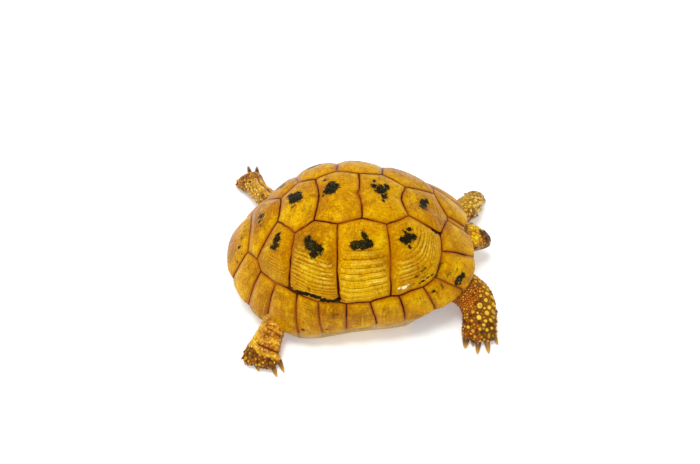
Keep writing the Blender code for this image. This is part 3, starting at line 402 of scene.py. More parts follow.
class Tree:
    """Short ways to add shader nodes."""

    def __init__(self, name, roughness=0.4, specular=0.5, coat=0.0, coat_roughness=0.1, ior=1.5, tint=None):
        self.mat = bpy.data.materials.new(name)
        self.mat.use_nodes = True
        self.nodes, self.links = self.mat.node_tree.nodes, self.mat.node_tree.links
        self.shader = self.nodes["Principled BSDF"]
        self.shader.inputs["Roughness"].default_value = roughness
        self.shader.inputs["Specular IOR Level"].default_value = specular
        self.shader.inputs["IOR"].default_value = ior
        if tint:
            self.shader.inputs["Specular Tint"].default_value = (*tint, 1)
        self.shader.inputs["Coat Weight"].default_value = coat
        self.shader.inputs["Coat Roughness"].default_value = coat_roughness
        self.where = self.nodes.new("ShaderNodeTexCoord").outputs["Object"]

    def put(self, socket, value):
        if value is None:
            return
        if isinstance(value, bpy.types.NodeSocket):
            self.links.new(value, socket)
        else:
            socket.default_value = value

    def attr(self, name):
        n = self.nodes.new("ShaderNodeAttribute")
        n.attribute_name = name
        return n.outputs["Fac"]

    def math(self, op, a, b=None, c=None, clamp=False):
        n = self.nodes.new("ShaderNodeMath")
        n.operation = op
        n.use_clamp = clamp
        for s, v in zip(n.inputs, (a, b, c)):
            self.put(s, v)
        return n.outputs[0]

    def noise(self, scale, detail=4.0, rough=0.55, vector=None, distortion=0.0):
        n = self.nodes.new("ShaderNodeTexNoise")
        n.inputs["Scale"].default_value = scale
        n.inputs["Detail"].default_value = detail
        n.inputs["Roughness"].default_value = rough
        n.inputs["Distortion"].default_value = distortion
        self.put(n.inputs["Vector"], vector or self.where)
        return n.outputs["Fac"]

    def voronoi(self, scale, feature="F1", vector=None, randomness=1.0, out="Distance"):
        n = self.nodes.new("ShaderNodeTexVoronoi")
        n.feature = feature
        n.inputs["Scale"].default_value = scale
        n.inputs["Randomness"].default_value = randomness
        self.put(n.inputs["Vector"], vector or self.where)
        return n.outputs[out]

    def combine(self, x, y, z):
        n = self.nodes.new("ShaderNodeCombineXYZ")
        for s, v in zip(n.inputs, (x, y, z)):
            self.put(s, v)
        return n.outputs[0]

    def ramp(self, fac, stops, smooth=False):
        n = self.nodes.new("ShaderNodeValToRGB")
        n.color_ramp.interpolation = "EASE" if smooth else "LINEAR"
        e = n.color_ramp.elements
        while len(e) < len(stops):
            e.new(0.5)
        for el, (pos, colour) in zip(e, stops):
            el.position = pos
            el.color = colour if len(colour) == 4 else (*colour, 1)
        self.put(n.inputs["Fac"], fac)
        return n.outputs["Color"]

    def step(self, fac, a, b):
        """0 below a to 1 above b, smoothly; a above b turns it round."""
        n = self.nodes.new("ShaderNodeMapRange")
        n.interpolation_type = "SMOOTHSTEP"
        n.clamp = True
        lo, hi = (a, b) if a < b else (b, a)
        self.put(n.inputs["Value"], fac)
        n.inputs["From Min"].default_value, n.inputs["From Max"].default_value = lo, hi
        n.inputs["To Min"].default_value, n.inputs["To Max"].default_value = (0, 1) if a < b else (1, 0)
        return n.outputs[0]

    def mix(self, fac, a, b, blend="MIX"):
        n = self.nodes.new("ShaderNodeMix")
        n.data_type = "RGBA"
        n.blend_type = blend
        n.clamp_factor = True
        self.put(n.inputs["Factor"], fac)
        self.put(n.inputs[6], a)
        self.put(n.inputs[7], b)
        return n.outputs[2]

    def bump(self, height, distance, strength=1.0, normal=None):
        n = self.nodes.new("ShaderNodeBump")
        n.inputs["Distance"].default_value = distance
        n.inputs["Strength"].default_value = strength
        self.put(n.inputs["Height"], height)
        if normal is not None:
            self.links.new(normal, n.inputs["Normal"])
        return n.outputs[0]

    def finish(self, colour, roughness=None, normal=None):
        self.put(self.shader.inputs["Base Color"], colour)
        self.put(self.shader.inputs["Roughness"], roughness)
        if normal is not None:
            self.links.new(normal, self.shader.inputs["Normal"])
        return self.mat


def horn_material():
    """Yellow horn: ochre with darker seams, growth rings in brown and pale yellow, black blotches at the areolae."""
    t = Tree("shell_horn", 0.36, 0.15, tint=(1.0, 0.66, 0.04))
    ring, seam, strength, blot, smear, tone, spoke, under, seamtone, gap, glint_spot, highlight_band = (
        t.attr(k) for k in ("ring", "seam", "ringing", "blot", "smear", "tone", "spoke", "under", "seamtone", "gap", "glint_spot", "highlight_band"))
    wide = t.noise(28, 3, 0.5)
    mid = t.noise(95, 4, 0.6)
    fine = t.noise(420, 4, 0.6)
    grit = t.noise(760, 4, 0.7)
    base = t.ramp(t.math("ADD", t.math("MULTIPLY", wide, 0.62), t.math("MULTIPLY", tone, 0.38)),
                  [(0.28, srgb(150, 90, 0)), (0.42, srgb(182, 118, 0)), (0.56, srgb(208, 148, 0)), (0.74, srgb(228, 178, 4))])
    aged = t.noise(62, 4, 0.66)
    base = t.mix(t.math("MULTIPLY", t.step(aged, 0.50, 0.64), 0.64), base, srgb(140, 78, 0))
    base = t.mix(t.math("MULTIPLY", t.step(aged, 0.45, 0.31), 0.55), base, srgb(238, 196, 8))
    cloudy = t.noise(210, 4, 0.70)
    base = t.mix(t.math("MULTIPLY", t.step(cloudy, 0.52, 0.68), 0.38), base, srgb(134, 78, 0))
    base = t.mix(t.math("MULTIPLY", t.step(cloudy, 0.46, 0.30), 0.34), base, srgb(240, 198, 10))
    # streaks that run out from the areola
    streak = t.noise(1.0, 4, 0.66, vector=t.combine(t.math("MULTIPLY", spoke, 74.0), t.math("MULTIPLY", ring, 0.42), tone))
    base = t.mix(t.math("MULTIPLY", t.step(streak, 0.52, 0.68), 0.60), base, srgb(140, 78, 0))
    base = t.mix(t.math("MULTIPLY", t.step(streak, 0.46, 0.30), 0.34), base, srgb(242, 202, 24))
    base = t.mix(t.math("MULTIPLY", t.step(mid, 0.54, 0.70), 0.50), base, srgb(170, 96, 2))
    base = t.mix(t.math("MULTIPLY", t.step(mid, 0.44, 0.32), 0.36), base, srgb(244, 202, 12))
    # growth rings: a dark line in each groove, a pale one on its shoulder, which is a painted highlight, and finer
    # lines between
    wobble = t.math("ADD", t.math("MULTIPLY_ADD", wide, 0.10, ring), t.math("MULTIPLY", t.math("SUBTRACT", fine, 0.5), 0.34))
    wave = t.math("FRACT", wobble)
    dark_line = t.math("MAXIMUM", t.step(wave, 0.15, 0.04), t.step(wave, 0.95, 1.0))
    ring_highlight = t.math("MULTIPLY", t.step(wave, 0.16, 0.28), t.step(wave, 0.78, 0.54))
    patch = t.step(t.noise(46, 3, 0.55), 0.36, 0.62)
    on = t.math("MULTIPLY", strength, patch)
    # painted highlight: pale yellow along the shoulder of each ring
    base = t.mix(t.math("MULTIPLY", ring_highlight, t.math("MULTIPLY", on, 0.42), clamp=True), base, srgb(244, 206, 50))
    broken = t.step(t.noise(1.0, 3, 0.6, vector=t.combine(t.math("MULTIPLY", spoke, 9.0), t.math("MULTIPLY", ring, 1.3), tone)), 0.40, 0.62)
    # painted highlight: broad, bright pale lines where the rings catch the light
    base = t.mix(t.math("MULTIPLY", t.math("MULTIPLY", ring_highlight, broken), t.math("MULTIPLY", highlight_band, 0.85), clamp=True), base, srgb(252, 228, 90))
    base = t.mix(t.math("MULTIPLY", dark_line, t.math("MULTIPLY", strength, 0.82), clamp=True), base, srgb(126, 66, 0))
    thin = t.math("FRACT", t.math("MULTIPLY", wobble, 3.0))
    thin_line = t.math("MULTIPLY", t.step(thin, 0.30, 0.04), t.math("MULTIPLY", strength, 0.42))
    base = t.mix(thin_line, base, srgb(136, 76, 2))
    # fine grit over everything
    base = t.mix(t.math("MULTIPLY", t.step(grit, 0.50, 0.66), 0.42), base, srgb(136, 78, 0))
    base = t.mix(t.math("MULTIPLY", t.step(grit, 0.47, 0.32), 0.32), base, srgb(242, 200, 16))
    # seams: orange-brown towards them, a dark red-brown line in the valley
    ragged = t.math("MULTIPLY_ADD", t.math("SUBTRACT", mid, 0.5), 2.8, seam)
    base = t.mix(t.math("MULTIPLY", t.step(ragged, 3.8, 0.3), 0.54), base, srgb(164, 88, 4))
    base = t.mix(t.math("MULTIPLY", t.step(ragged, 1.6, 0.2), 0.72), base, srgb(134, 58, 4))
    sway = t.math("ADD", t.math("MULTIPLY", t.math("SUBTRACT", fine, 0.5), 1.1), t.math("MULTIPLY", t.math("SUBTRACT", seamtone, 0.72), -1.15))
    line = t.step(t.math("ADD", sway, seam), 0.50, 0.12)
    base = t.mix(t.math("MULTIPLY", line, t.step(seamtone, 0.30, 0.85)), base, srgb(66, 20, 4))
    # smears and small dark flecks
    rub = t.noise(260, 5, 0.7, vector=None)
    smudge = t.math("ADD", smear, t.math("MULTIPLY", t.math("SUBTRACT", rub, 0.5), 3.0))
    base = t.mix(t.math("MULTIPLY", t.math("MULTIPLY", t.step(smudge, 0.45, 0.90), t.step(smear, 0.05, 0.30)), 0.88), base, srgb(56, 34, 6))
    base = t.mix(t.math("MULTIPLY", t.step(smear, 0.1, 0.8), 0.26), base, srgb(112, 76, 10))
    speck = t.voronoi(170)
    keep = t.step(t.noise(33, 2, 0.5), 0.58, 0.66)
    base = t.mix(t.math("MULTIPLY", t.step(speck, 0.14, 0.04), t.math("MULTIPLY", keep, 0.85)), base, srgb(84, 34, 4))
    # a spot worn smooth, painted near white with streaks: a painted highlight of glints
    base = t.mix(t.math("MULTIPLY", t.step(t.math("ADD", glint_spot, t.math("MULTIPLY", t.math("SUBTRACT", rub, 0.5), 2.2)), 0.50, 0.80), t.step(glint_spot, 0.02, 0.25)), base, srgb(252, 240, 204))
    # painted shade: the turned-under edge, which lies in shade, is painted pale grey-brown
    bare = t.ramp(mid, [(0.30, srgb(136, 104, 48)), (0.55, srgb(178, 142, 78)), (0.75, srgb(206, 176, 118))])
    base = t.mix(t.math("MULTIPLY", under, 0.92), base, bare)
    # blotches: near black, ragged, with ochre breaking through at the edge
    edge = t.math("ADD", blot, t.math("MULTIPLY", t.math("SUBTRACT", t.noise(260, 5, 0.7), 0.5), 1.25))
    edge = t.math("ADD", edge, t.math("MULTIPLY", t.math("SUBTRACT", t.noise(760, 4, 0.7), 0.5), 1.05))
    reach = t.step(blot, 0.04, 0.22)
    base = t.mix(t.math("MULTIPLY", t.math("MULTIPLY", t.step(edge, 0.10, 0.50), reach), 0.50), base, srgb(106, 66, 6))
    black = t.ramp(fine, [(0.40, srgb(9, 8, 5)), (0.60, srgb(22, 19, 12)), (0.74, srgb(60, 50, 28))])
    # lighter grey-olive streaks inside the blotches: partly pigment, partly painted glints
    black = t.mix(t.math("MULTIPLY", t.step(t.math("ADD", streak, t.math("MULTIPLY", t.math("SUBTRACT", grit, 0.5), 0.8)), 0.58, 0.70), 0.62), black, srgb(124, 104, 58))
    base = t.mix(t.math("MULTIPLY", t.step(edge, 0.42, 0.52), reach), base, black)
    # ragged gaps where a plate stands off its neighbour, painted near black: painted shade in the gap
    shaded_gap = t.math("ADD", gap, t.math("MULTIPLY", t.math("SUBTRACT", t.noise(520, 4, 0.7), 0.5), 1.7))
    base = t.mix(t.math("MULTIPLY", t.step(shaded_gap, 0.42, 0.60), t.step(gap, 0.04, 0.20)), base, srgb(14, 9, 5))
    gloss = t.ramp(fine, [(0.30, (0.24,) * 3), (0.75, (0.46,) * 3)])
    height = t.math("ADD", t.math("MULTIPLY", t.math("ADD", fine, grit), 0.3),
                    t.math("ADD", t.math("MULTIPLY", t.step(thin, 0.0, 0.5), t.math("MULTIPLY", strength, 0.35)),
                           t.math("MULTIPLY", streak, 0.6)))
    return t.finish(base, gloss, t.bump(height, 0.00016, 0.8))


def underside_shade_material():
    """Pale grey-brown horn of the turned-under edge and the bone inside it: the grey-brown is painted shade, the colour
    of the underside in shade.
    """
    t = Tree("underside_shade_horn", 0.55, 0.4)
    seam = t.attr("seam")
    base = t.ramp(t.noise(60, 4, 0.6), [(0.30, srgb(150, 118, 70)), (0.55, srgb(186, 152, 96)), (0.80, srgb(206, 178, 128))])
    base = t.mix(t.math("MULTIPLY", t.step(t.noise(170, 4, 0.6), 0.55, 0.75), 0.5), base, srgb(112, 82, 48))
    base = t.mix(t.step(seam, 1.0, 0.2), base, srgb(70, 42, 18))
    return t.finish(base, 0.55, t.bump(t.noise(500, 4, 0.6), 0.0002, 0.6))


# =============================================================================
# carapace
# =============================================================================
PERIODS = {"costal_1": 1.9, "costal_2": 3.5, "costal_3": 2.2, "costal_4": 1.7}      # mm from ring to ring where a plate is widest


def warp(p):
    """Bends the plan a little, so that seams aren't ruled lines. It leaves the rim alone."""
    r = np.hypot(p[..., 0], p[..., 1])
    keep = np.clip((1 - r) / 0.08, 0, 1)[..., None]
    q = np.stack([value_noise(p * 7.0, 3), value_noise(p * 7.0 + 40, 4)], -1) * 0.0065
    q += np.stack([value_noise(p * 26.0, 5), value_noise(p * 26.0 + 40, 6)], -1) * 0.0022
    away = np.degrees(np.abs(np.arctan2(p[..., 0], -p[..., 1])))
    swell = 1 + 0.0267 * np.exp(-((away / 4.5) ** 2)) * (1 - smooth_step(r, 0.80, 0.97)) * smooth_step(r, 0.10, 0.30)
    return p * swell[..., None] + q * keep


def corner_place(name):
    deg, r = CORNER[name.lstrip("-")]
    return flat(-deg if name.startswith("-") else deg, r)


def on_rim(name):
    return CORNER[name.lstrip("-")][1] == 1.0


def border_of(names, count):
    """Border points of a plate in plan, evenly spaced by length on the shell, out to the lip for a plate at the rim, and each one's side."""
    path, sides = [], []

    def add(points, side):
        path.extend(points)
        sides.extend([side] * len(points))

    def down(t, rs):
        return [np.array([-r * math.sin(t), -r * math.cos(t)]) for r in rs]

    for k, a in enumerate(names):
        b = names[(k + 1) % len(names)]
        pa, pb = corner_place(a), corner_place(b)
        ta, tb = unflat(pa)[0], unflat(pb)[0]
        straight = [pa + (pb - pa) * f for f in np.linspace(0, 1, 30, endpoint=False)]
        if on_rim(a) and on_rim(b):
            if tb - ta > math.pi:
                tb -= 2 * math.pi
            if ta - tb > math.pi:
                ta -= 2 * math.pi
            for t in ta + (tb - ta) * np.linspace(0, 1, 40, endpoint=False):
                add(down(t, [float(lip_share(t)) - 0.002]), -1)
        elif on_rim(b):
            add(straight, k)
            add(down(tb, np.linspace(1, float(lip_share(tb)) - 0.002, 10, endpoint=False)), k)
        elif on_rim(a):
            add(down(ta, np.linspace(float(lip_share(ta)) - 0.002, 1, 10, endpoint=False)), k)
            add(straight, k)
        else:
            add(straight, k)
    path, sides = np.array(path), np.array(sides)
    spots = shell(*unflat(warp(path)))
    at = np.r_[0, np.cumsum(np.linalg.norm(np.roll(spots, -1, axis=0) - spots, axis=1))]
    want = np.linspace(0, at[-1], count, endpoint=False)
    closed = np.vstack([path, path[:1]])
    side = sides[np.clip(np.searchsorted(at, want + 1e-9, "right") - 1, 0, len(sides) - 1)]
    return np.stack([np.interp(want, at, closed[:, 0]), np.interp(want, at, closed[:, 1])], 1), side


def distance_to(points, line, closed=True):
    """Distance of each point to a line."""
    best = np.full(len(points), 1e9)
    ends = np.roll(line, -1, axis=0)
    for p, q in list(zip(line, ends))[:None if closed else -1]:
        d = q - p
        f = np.clip(((points - p) @ d) / max(d @ d, 1e-12), 0, 1)
        best = np.minimum(best, np.linalg.norm(points - p - f[:, None] * d, axis=1))
    return best


def spot_field(points, lobes):
    """How far inside the nearest lobe each point is: 1 at its middle, 0 at its edge and beyond."""
    field = np.zeros(len(points))
    for deg, r, along, across, weight in lobes:
        theta = math.radians(deg) % (2 * math.pi)
        c = shell(theta, r)
        n = shell_normal(theta, r)
        e1 = shell(theta + 0.01, r) - c
        e1 -= n * (e1 @ n)
        e1 /= np.linalg.norm(e1)
        e2 = np.cross(n, e1)
        d = points - c
        q = np.sqrt(((d @ e1) / along) ** 2 + ((d @ e2) / across) ** 2 + ((d @ n) / 12) ** 2)
        field = np.maximum(field, weight * np.clip(1.32 - q * 0.95, 0, 1.2))
    return np.clip(field, 0, 1.15)


def plate(name, names, areola, swell, ringing, rows, cols, patch):
    border, side = border_of(names, cols)
    centre = flat(*areola)
    spokes = border - centre
    radius = np.linalg.norm(spokes, axis=1)
    kernel = np.hanning(int(cols * 0.22) | 1)
    kernel /= kernel.sum()
    pad = len(kernel)
    rounded = np.convolve(np.r_[radius[-pad:], radius, radius[:pad]], kernel, "same")[pad:-pad] * 0.96
    ts = np.linspace(0, 1, rows) ** 0.93
    t = ts[:, None]
    soft = (1 - smooth_step(t, 0.25, 0.80)) * 0.8
    scale = np.minimum(t * (rounded / radius * soft + (1 - soft)), 1)
    plan = warp((centre + spokes[None] * scale[..., None]).reshape(-1, 2))
    theta, r = unflat(plan)
    base = shell(theta, r)
    normal = shell_normal(theta, r)
    border3 = base.reshape(rows, cols, 3)[-1]
    tt = np.repeat(ts, cols)
    # growth rings follow each side of the plate, and are widest towards the rim
    heart = shell(*unflat(warp(centre[None])))[0]
    down = centre / max(np.linalg.norm(centre), 1e-9)
    seam, near, reach, kinds = np.full(len(base), 1e9), [], [], []
    for k in np.unique(side):
        member = np.where(side == k)[0]
        jump = np.where(np.diff(member) > 1)[0]
        if len(jump):
            member = np.r_[member[jump[0] + 1:], member[:jump[0] + 1]]
        line = np.vstack([border3[member], border3[(member[-1] + 1) % cols]])
        d = distance_to(base, line, closed=False)
        seam = np.minimum(seam, d)
        run = border[(member[-1] + 1) % cols] - border[member[0]]
        away = np.array([run[1], -run[0]])
        if away @ (border[member].mean(0) - centre) < 0:
            away = -away
        lean = float(away @ down / max(np.linalg.norm(away), 1e-9))
        ahead = -float(away[1] / max(np.linalg.norm(away), 1e-9))
        if name.startswith("costal_1"):
            part = 0.92 if lean > 0.1 or ahead > 0.5 else 0.42
        elif name.startswith("costal"):
            part = 0.94 if lean > 0.45 else (0.62 if lean < -0.5 else 0.24)
        elif name.startswith("vertebral"):
            part = 0.60
        else:
            part = 0.85 if k >= 0 and (lean < -0.5 or ahead > 0.4) else 0.22
        near.append(d)
        reach.append(max(distance_to(heart[None], line, closed=False)[0] * part, 1.5))
    near, reach = np.array(near), np.array(reach)
    x = np.maximum(near / reach[:, None], 1e-3)
    deg = np.degrees(np.where(theta > math.pi, 2 * math.pi - theta, theta))
    below = r - areola[1]
    power = 3.5 if name.startswith("costal_1") else 6.0
    w = x ** -power
    v = 1 - w.sum(0) ** (-1 / power)
    wide = (w * reach[:, None]).sum(0) / w.sum(0) / reach.max()
    count = max(3, round(reach.max() / PERIODS.get(name[:8], 2.3)))
    drawn = 1 - (1 - np.clip(v, 0, 1)) ** 0.80 + np.minimum(v, 0)
    uneven = np.interp(drawn * count, np.arange(count + 1), np.arange(count + 1) + np.random.default_rng(100 + patch).uniform(-0.22, 0.22, count + 1))
    ring = uneven + 0.10 * fractal(base * 0.06, 30, 2) + 20
    here = ringing * smooth_step(wide, 0.22, 0.75) * smooth_step(v, 0.02, 0.22)
    here = here * (1 - 0.6 * smooth_step(seam, 2.2, 0.7)) * np.clip(0.85 + 0.6 * fractal(base * 0.05, 50, 2), 0.2, 1.2)
    if name.startswith("costal_1"):
        here = here * smooth_step(below + (abs(areola[0]) - deg) * 0.006, -0.02, 0.07)
    elif name.startswith("costal"):
        here = here * smooth_step(below, -0.03, 0.06)
    elif name.startswith("marginal"):
        here = here * 0.40
    phase = np.mod(ring, 1.0)
    terrace = ((1 - np.abs(2 * phase - 1) ** 3) - 0.5) * (0.13 if name.startswith("costal_2") else 0.055) * here * smooth_step(v, 0.98, 0.60)
    dome = swell * (1 - tt ** 2.2)
    deep = 0.72 + 0.40 * fractal(base * 0.08, 90, 2) + 0.55 * spot_field(base, HEAVY_SEAMS)
    if name.startswith("vertebral"):
        deep = deep + 0.12
    valley = -0.62 * deep * np.exp(-((seam / 0.48) ** 2)) - 0.38 * np.exp(-((seam / 2.2) ** 2))
    grain = 0.12 * fractal(base * 0.14, 60, 3) * smooth_step(seam, 0.5, 2.5)
    rough = -0.20 * smooth_step(v, 0.10, -0.20) * (0.6 + 0.6 * value_noise(base * 0.9, 70))
    rough = rough + 0.10 * value_noise(base * 0.55, 75) * smooth_step(seam, 0.5, 2.0)
    lift = dome * smooth_step(seam, 0, 7.0) + valley - 0.45 * spot_field(base, GAPS) + terrace + grain + rough + 0.10
    points = base + normal * lift[:, None]
    skirt = border3 - normal.reshape(rows, cols, 3)[-1] * 2.4
    points = np.vstack([points, skirt])
    points[:cols] = points[:cols].mean(0)
    lobes = [b for key, b in BLOTCHES if key == name]
    blot = spot_field(base, lobes[0]) if lobes else np.zeros(len(base))
    smear = spot_field(base, SMEARS)
    gap = spot_field(base, GAPS)
    glint_spot = spot_field(base, GLINT_SPOTS)
    highlight_band = spot_field(base, HIGHLIGHT_BANDS)
    tone = 0.5 + 0.5 * fractal(base * 0.035, 80 + patch, 2) + rng.uniform(-0.08, 0.08) + TONES.get(name, 0)
    # how far round the turned-under edge a point lies; that part is painted in shade colours
    under = smooth_step(r, 1.004, 1.03)
    spoke = np.tile(np.linspace(0, 1, cols, endpoint=False), rows)
    if name.startswith("marginal"):
        spoke = deg * 0.0150
    tail = lambda a: np.r_[a, a.reshape(rows, cols)[-1]]
    attributes = {"ring": tail(ring), "seam": np.r_[seam, np.zeros(cols)], "ringing": tail(here), "blot": tail(blot), "under": tail(under),
                  "smear": tail(smear), "tone": tail(tone), "spoke": tail(spoke), "seamtone": tail(deep), "gap": tail(gap), "glint_spot": tail(glint_spot), "highlight_band": tail(highlight_band)}
    cell = np.array([patch % 8, patch // 8]) / 8
    flat_xy = np.concatenate([spokes[None] * scale[..., None], spokes[None] * 1.02], 0).reshape(-1, 2)
    uv = cell + (flat_xy / (np.abs(flat_xy).max() * 2.1) + 0.5) / 8
    faces = grid_faces(rows + 1, cols)
    first = faces[:cols]
    tris = np.stack([np.full(cols, 0), first[:, 2], first[:, 3]], 1)
    return {"points": points, "faces": [faces[cols:], tris], "attributes": attributes, "uv": uv}


def mirrored(names):
    return tuple(n[1:] if n.startswith("-") else "-" + n for n in reversed(names))


def outward(part, centre):
    """Turns the faces so that they face away from the centre."""
    f = part["faces"][0]
    p = part["points"]
    n = np.cross(p[f[:, 1]] - p[f[:, 0]], p[f[:, 2]] - p[f[:, 0]])
    m = p[f].mean(1) - centre
    if (n * m).sum() < 0:
        part["faces"] = [g[:, ::-1] for g in part["faces"]]
    return part


def build_shell():
    horn = horn_material()
    middle = np.array([0, SHELL_CENTRE_Y, 20.0])
    groups = {"vertebral_scutes": [], "costal_scutes_right": [], "costal_scutes_left": [],
              "marginal_scutes_right": [], "marginal_scutes_left": [], "nuchal_and_supracaudal_scutes": []}
    for k, (name, names, areola, swell, ringing) in enumerate(VERTEBRALS):
        groups["vertebral_scutes"].append(outward(plate(name, names, areola, swell, ringing, 84, 168, k), middle))
    for k, (name, names, areola, swell, ringing) in enumerate(COSTALS):
        groups["costal_scutes_right"].append(outward(plate(name + "_right", names, areola, swell, ringing, 100, 176, k), middle))
        left = (-areola[0], areola[1])
        for key, lobes in BLOTCHES:
            if key == name + "_left":
                left = (lobes[0][0], lobes[0][1])
        groups["costal_scutes_left"].append(outward(plate(name + "_left", mirrored(names), left, swell, ringing * 0.85, 84, 160, k), middle))
    for k, (name, names, areola, swell, ringing) in enumerate(MARGINALS):
        groups["marginal_scutes_right"].append(outward(plate(name + "_right", names, areola, swell, ringing, 56, 112, k), middle))
        groups["marginal_scutes_left"].append(outward(plate(name + "_left", mirrored(names), (-areola[0], areola[1]), swell, ringing, 48, 100, k), middle))
    for k, (name, names, areola, swell, ringing) in enumerate((NUCHAL, SUPRACAUDAL)):
        groups["nuchal_and_supracaudal_scutes"].append(outward(plate(name, names, areola, swell, ringing, 52, 120, k), middle))
    for name, parts in groups.items():
        points, faces, attributes, uv = joined(parts)
        place(build(name, points, faces, horn, attributes, uv), ["carapace"], "shell_horn")
    # the bone under the plates, its turned edge and its inner wall: one closed body
    count = 240
    theta = np.linspace(0, 2 * math.pi, count, endpoint=False)
    rings = [shell(theta, np.full(count, r)) - shell_normal(theta, np.full(count, r)) * 1.5 for r in (0.04, 0.2, 0.4, 0.55, 0.68, 0.8, 0.9, 0.96, 1.0)]
    lip = lip_share(theta)
    for f in (0.25, 0.5, 0.75):
        r = 1 + f * (lip - 1)
        rings.append(shell(theta, r) - shell_normal(theta, r) * 1.1)
    rings.append(shell(theta, lip))
    for share, wall in ((0.93, WALL), (0.86, WALL), (0.78, WALL), (0.64, WALL), (0.52, WALL + 0.8), (0.24, WALL + 1.0)):
        r = np.full(count, share)
        rings.append(shell(theta, r) - shell_normal(theta, r) * wall)
    rows = len(rings)
    points = np.vstack(rings + [[[0, SHELL_CENTRE_Y, SHELL_HEIGHT - 1.5], [0, SHELL_CENTRE_Y, SHELL_HEIGHT - WALL - 1.0]]])
    faces = grid_faces(rows, count)
    j = np.arange(count)
    top = np.stack([np.full(count, rows * count), (j + 1) % count, j], 1)
    low = np.stack([np.full(count, rows * count + 1), (rows - 1) * count + j, (rows - 1) * count + (j + 1) % count], 1)
    core = {"points": points, "faces": [faces, np.vstack([top, low])], "attributes": {"seam": np.full(len(points), 9.0)}}
    u = np.r_[np.tile(np.linspace(0, 1, count, endpoint=False), rows), 0.5, 0.5]
    v = np.r_[np.repeat(np.linspace(0.02, 0.98, rows), count), 0.0, 1.0]
    core["uv"] = np.stack([u, v], 1)
    core = outward(core, np.array([0, SHELL_CENTRE_Y, 40.0]))
    place(build("shell_bone", core["points"], core["faces"], underside_shade_material(), core["attributes"], core["uv"]), ["carapace"], "shell_horn")


# =============================================================================
# limbs, head and trunk: the same tables as the solids
# =============================================================================
FORELEG_RIGHT = ((-19, -56, 22, 12.5, 11.5), (-30, -75, 21, 13.6, 11), (-41, -91, 16.8, 14.2, 9.8), (-52.5, -94.8, 12, 13, 8.2), (-61, -94, 9, 12.4, 7),
                 (-65, -93.6, 7.0, 12.8, 6.8), (-68.2, -93.2, 5.6, 12.6, 6.2), (-70.2, -93.0, 4.8, 11.2, 5.4))
FORELEG_LEFT = ((20, -58, 22, 11.5, 11), (31, -80.5, 21.5, 11.2, 10.4), (40.5, -95.5, 18.8, 10.8, 9.8), (51.5, -104.4, 14.6, 9.9, 9.2), (60, -109.8, 11, 8.9, 8.2),
                (65.8, -113.0, 8.2, 8.8, 7.4), (69.4, -114.8, 6.2, 8.6, 6.4), (71.6, -115.6, 5.2, 7.6, 5.4))
HINDLEG_RIGHT = ((-29, 41, 21, 12, 11), (-45, 48, 18.5, 10.4, 10.6), (-60, 53.2, 13.8, 9.6, 9.4), (-70.5, 57.9, 10, 11.2, 8.2),
                 (-76, 60, 7.6, 12.8, 7.6), (-81.4, 61.9, 6.0, 13.4, 6.6), (-85.6, 63.2, 4.9, 12.0, 5.5))
HINDLEG_LEFT = ((30, 44, 21, 12, 11), (52, 60, 19, 10, 10), (70, 72, 15, 8.9, 9.2), (82, 78.6, 11.6, 9.2, 8.6),
                (90, 83.2, 9.2, 10.4, 8.4), (96.8, 87.6, 7.2, 12.2, 7.6), (101.6, 91.6, 5.6, 11.4, 6.2))
TAIL = ((3, 50, 16, 9, 7), (0, 62, 14, 7.5, 6), (-6, 71, 11, 5.5, 4.6), (-13, 76, 8, 3.6, 3.2), (-19, 77, 6, 1.8, 1.6))
NECK = ((0, -52, 27, 14, 11), (3, -68, 27, 13, 10.6), (5.5, -82, 26.4, 12.4, 10.2), (7, -88, 26, 12.2, 10.0))
HEAD_BACK = np.array((7.0, -87.0, 26.0))
HEAD_TIP = np.array((7.0, -114.0, 20.5))
HEAD_FORM = ((0.0, 12.2, 9.0, 9.6), (0.12, 12.8, 9.6, 9.8), (0.28, 12.6, 9.9, 9.4), (0.44, 11.4, 9.9, 8.4), (0.58, 9.9, 9.4, 7.6),
             (0.72, 8.3, 8.2, 7.0), (0.84, 6.7, 6.4, 6.5), (0.93, 5.1, 4.4, 5.8), (0.98, 3.6, 2.8, 4.8), (1.0, 2.2, 1.4, 3.6))
EYE_RADIUS, EYE_ALONG, EYE_UP, EYE_IN = 2.7, 0.39, 3.2, 1.5
HEAD_LENGTH = float(np.linalg.norm(HEAD_TIP - HEAD_BACK))
HEAD_T = (HEAD_TIP - HEAD_BACK) / HEAD_LENGTH
HEAD_UP = np.array([0, 0, 1.0]) - HEAD_T * HEAD_T[2]
HEAD_UP /= np.linalg.norm(HEAD_UP)
HEAD_SIDE = np.cross(HEAD_T, HEAD_UP)              # towards the animal's right
SKIN_INSIDE = 0.65                                 # mm from the solids' surface in to the skin
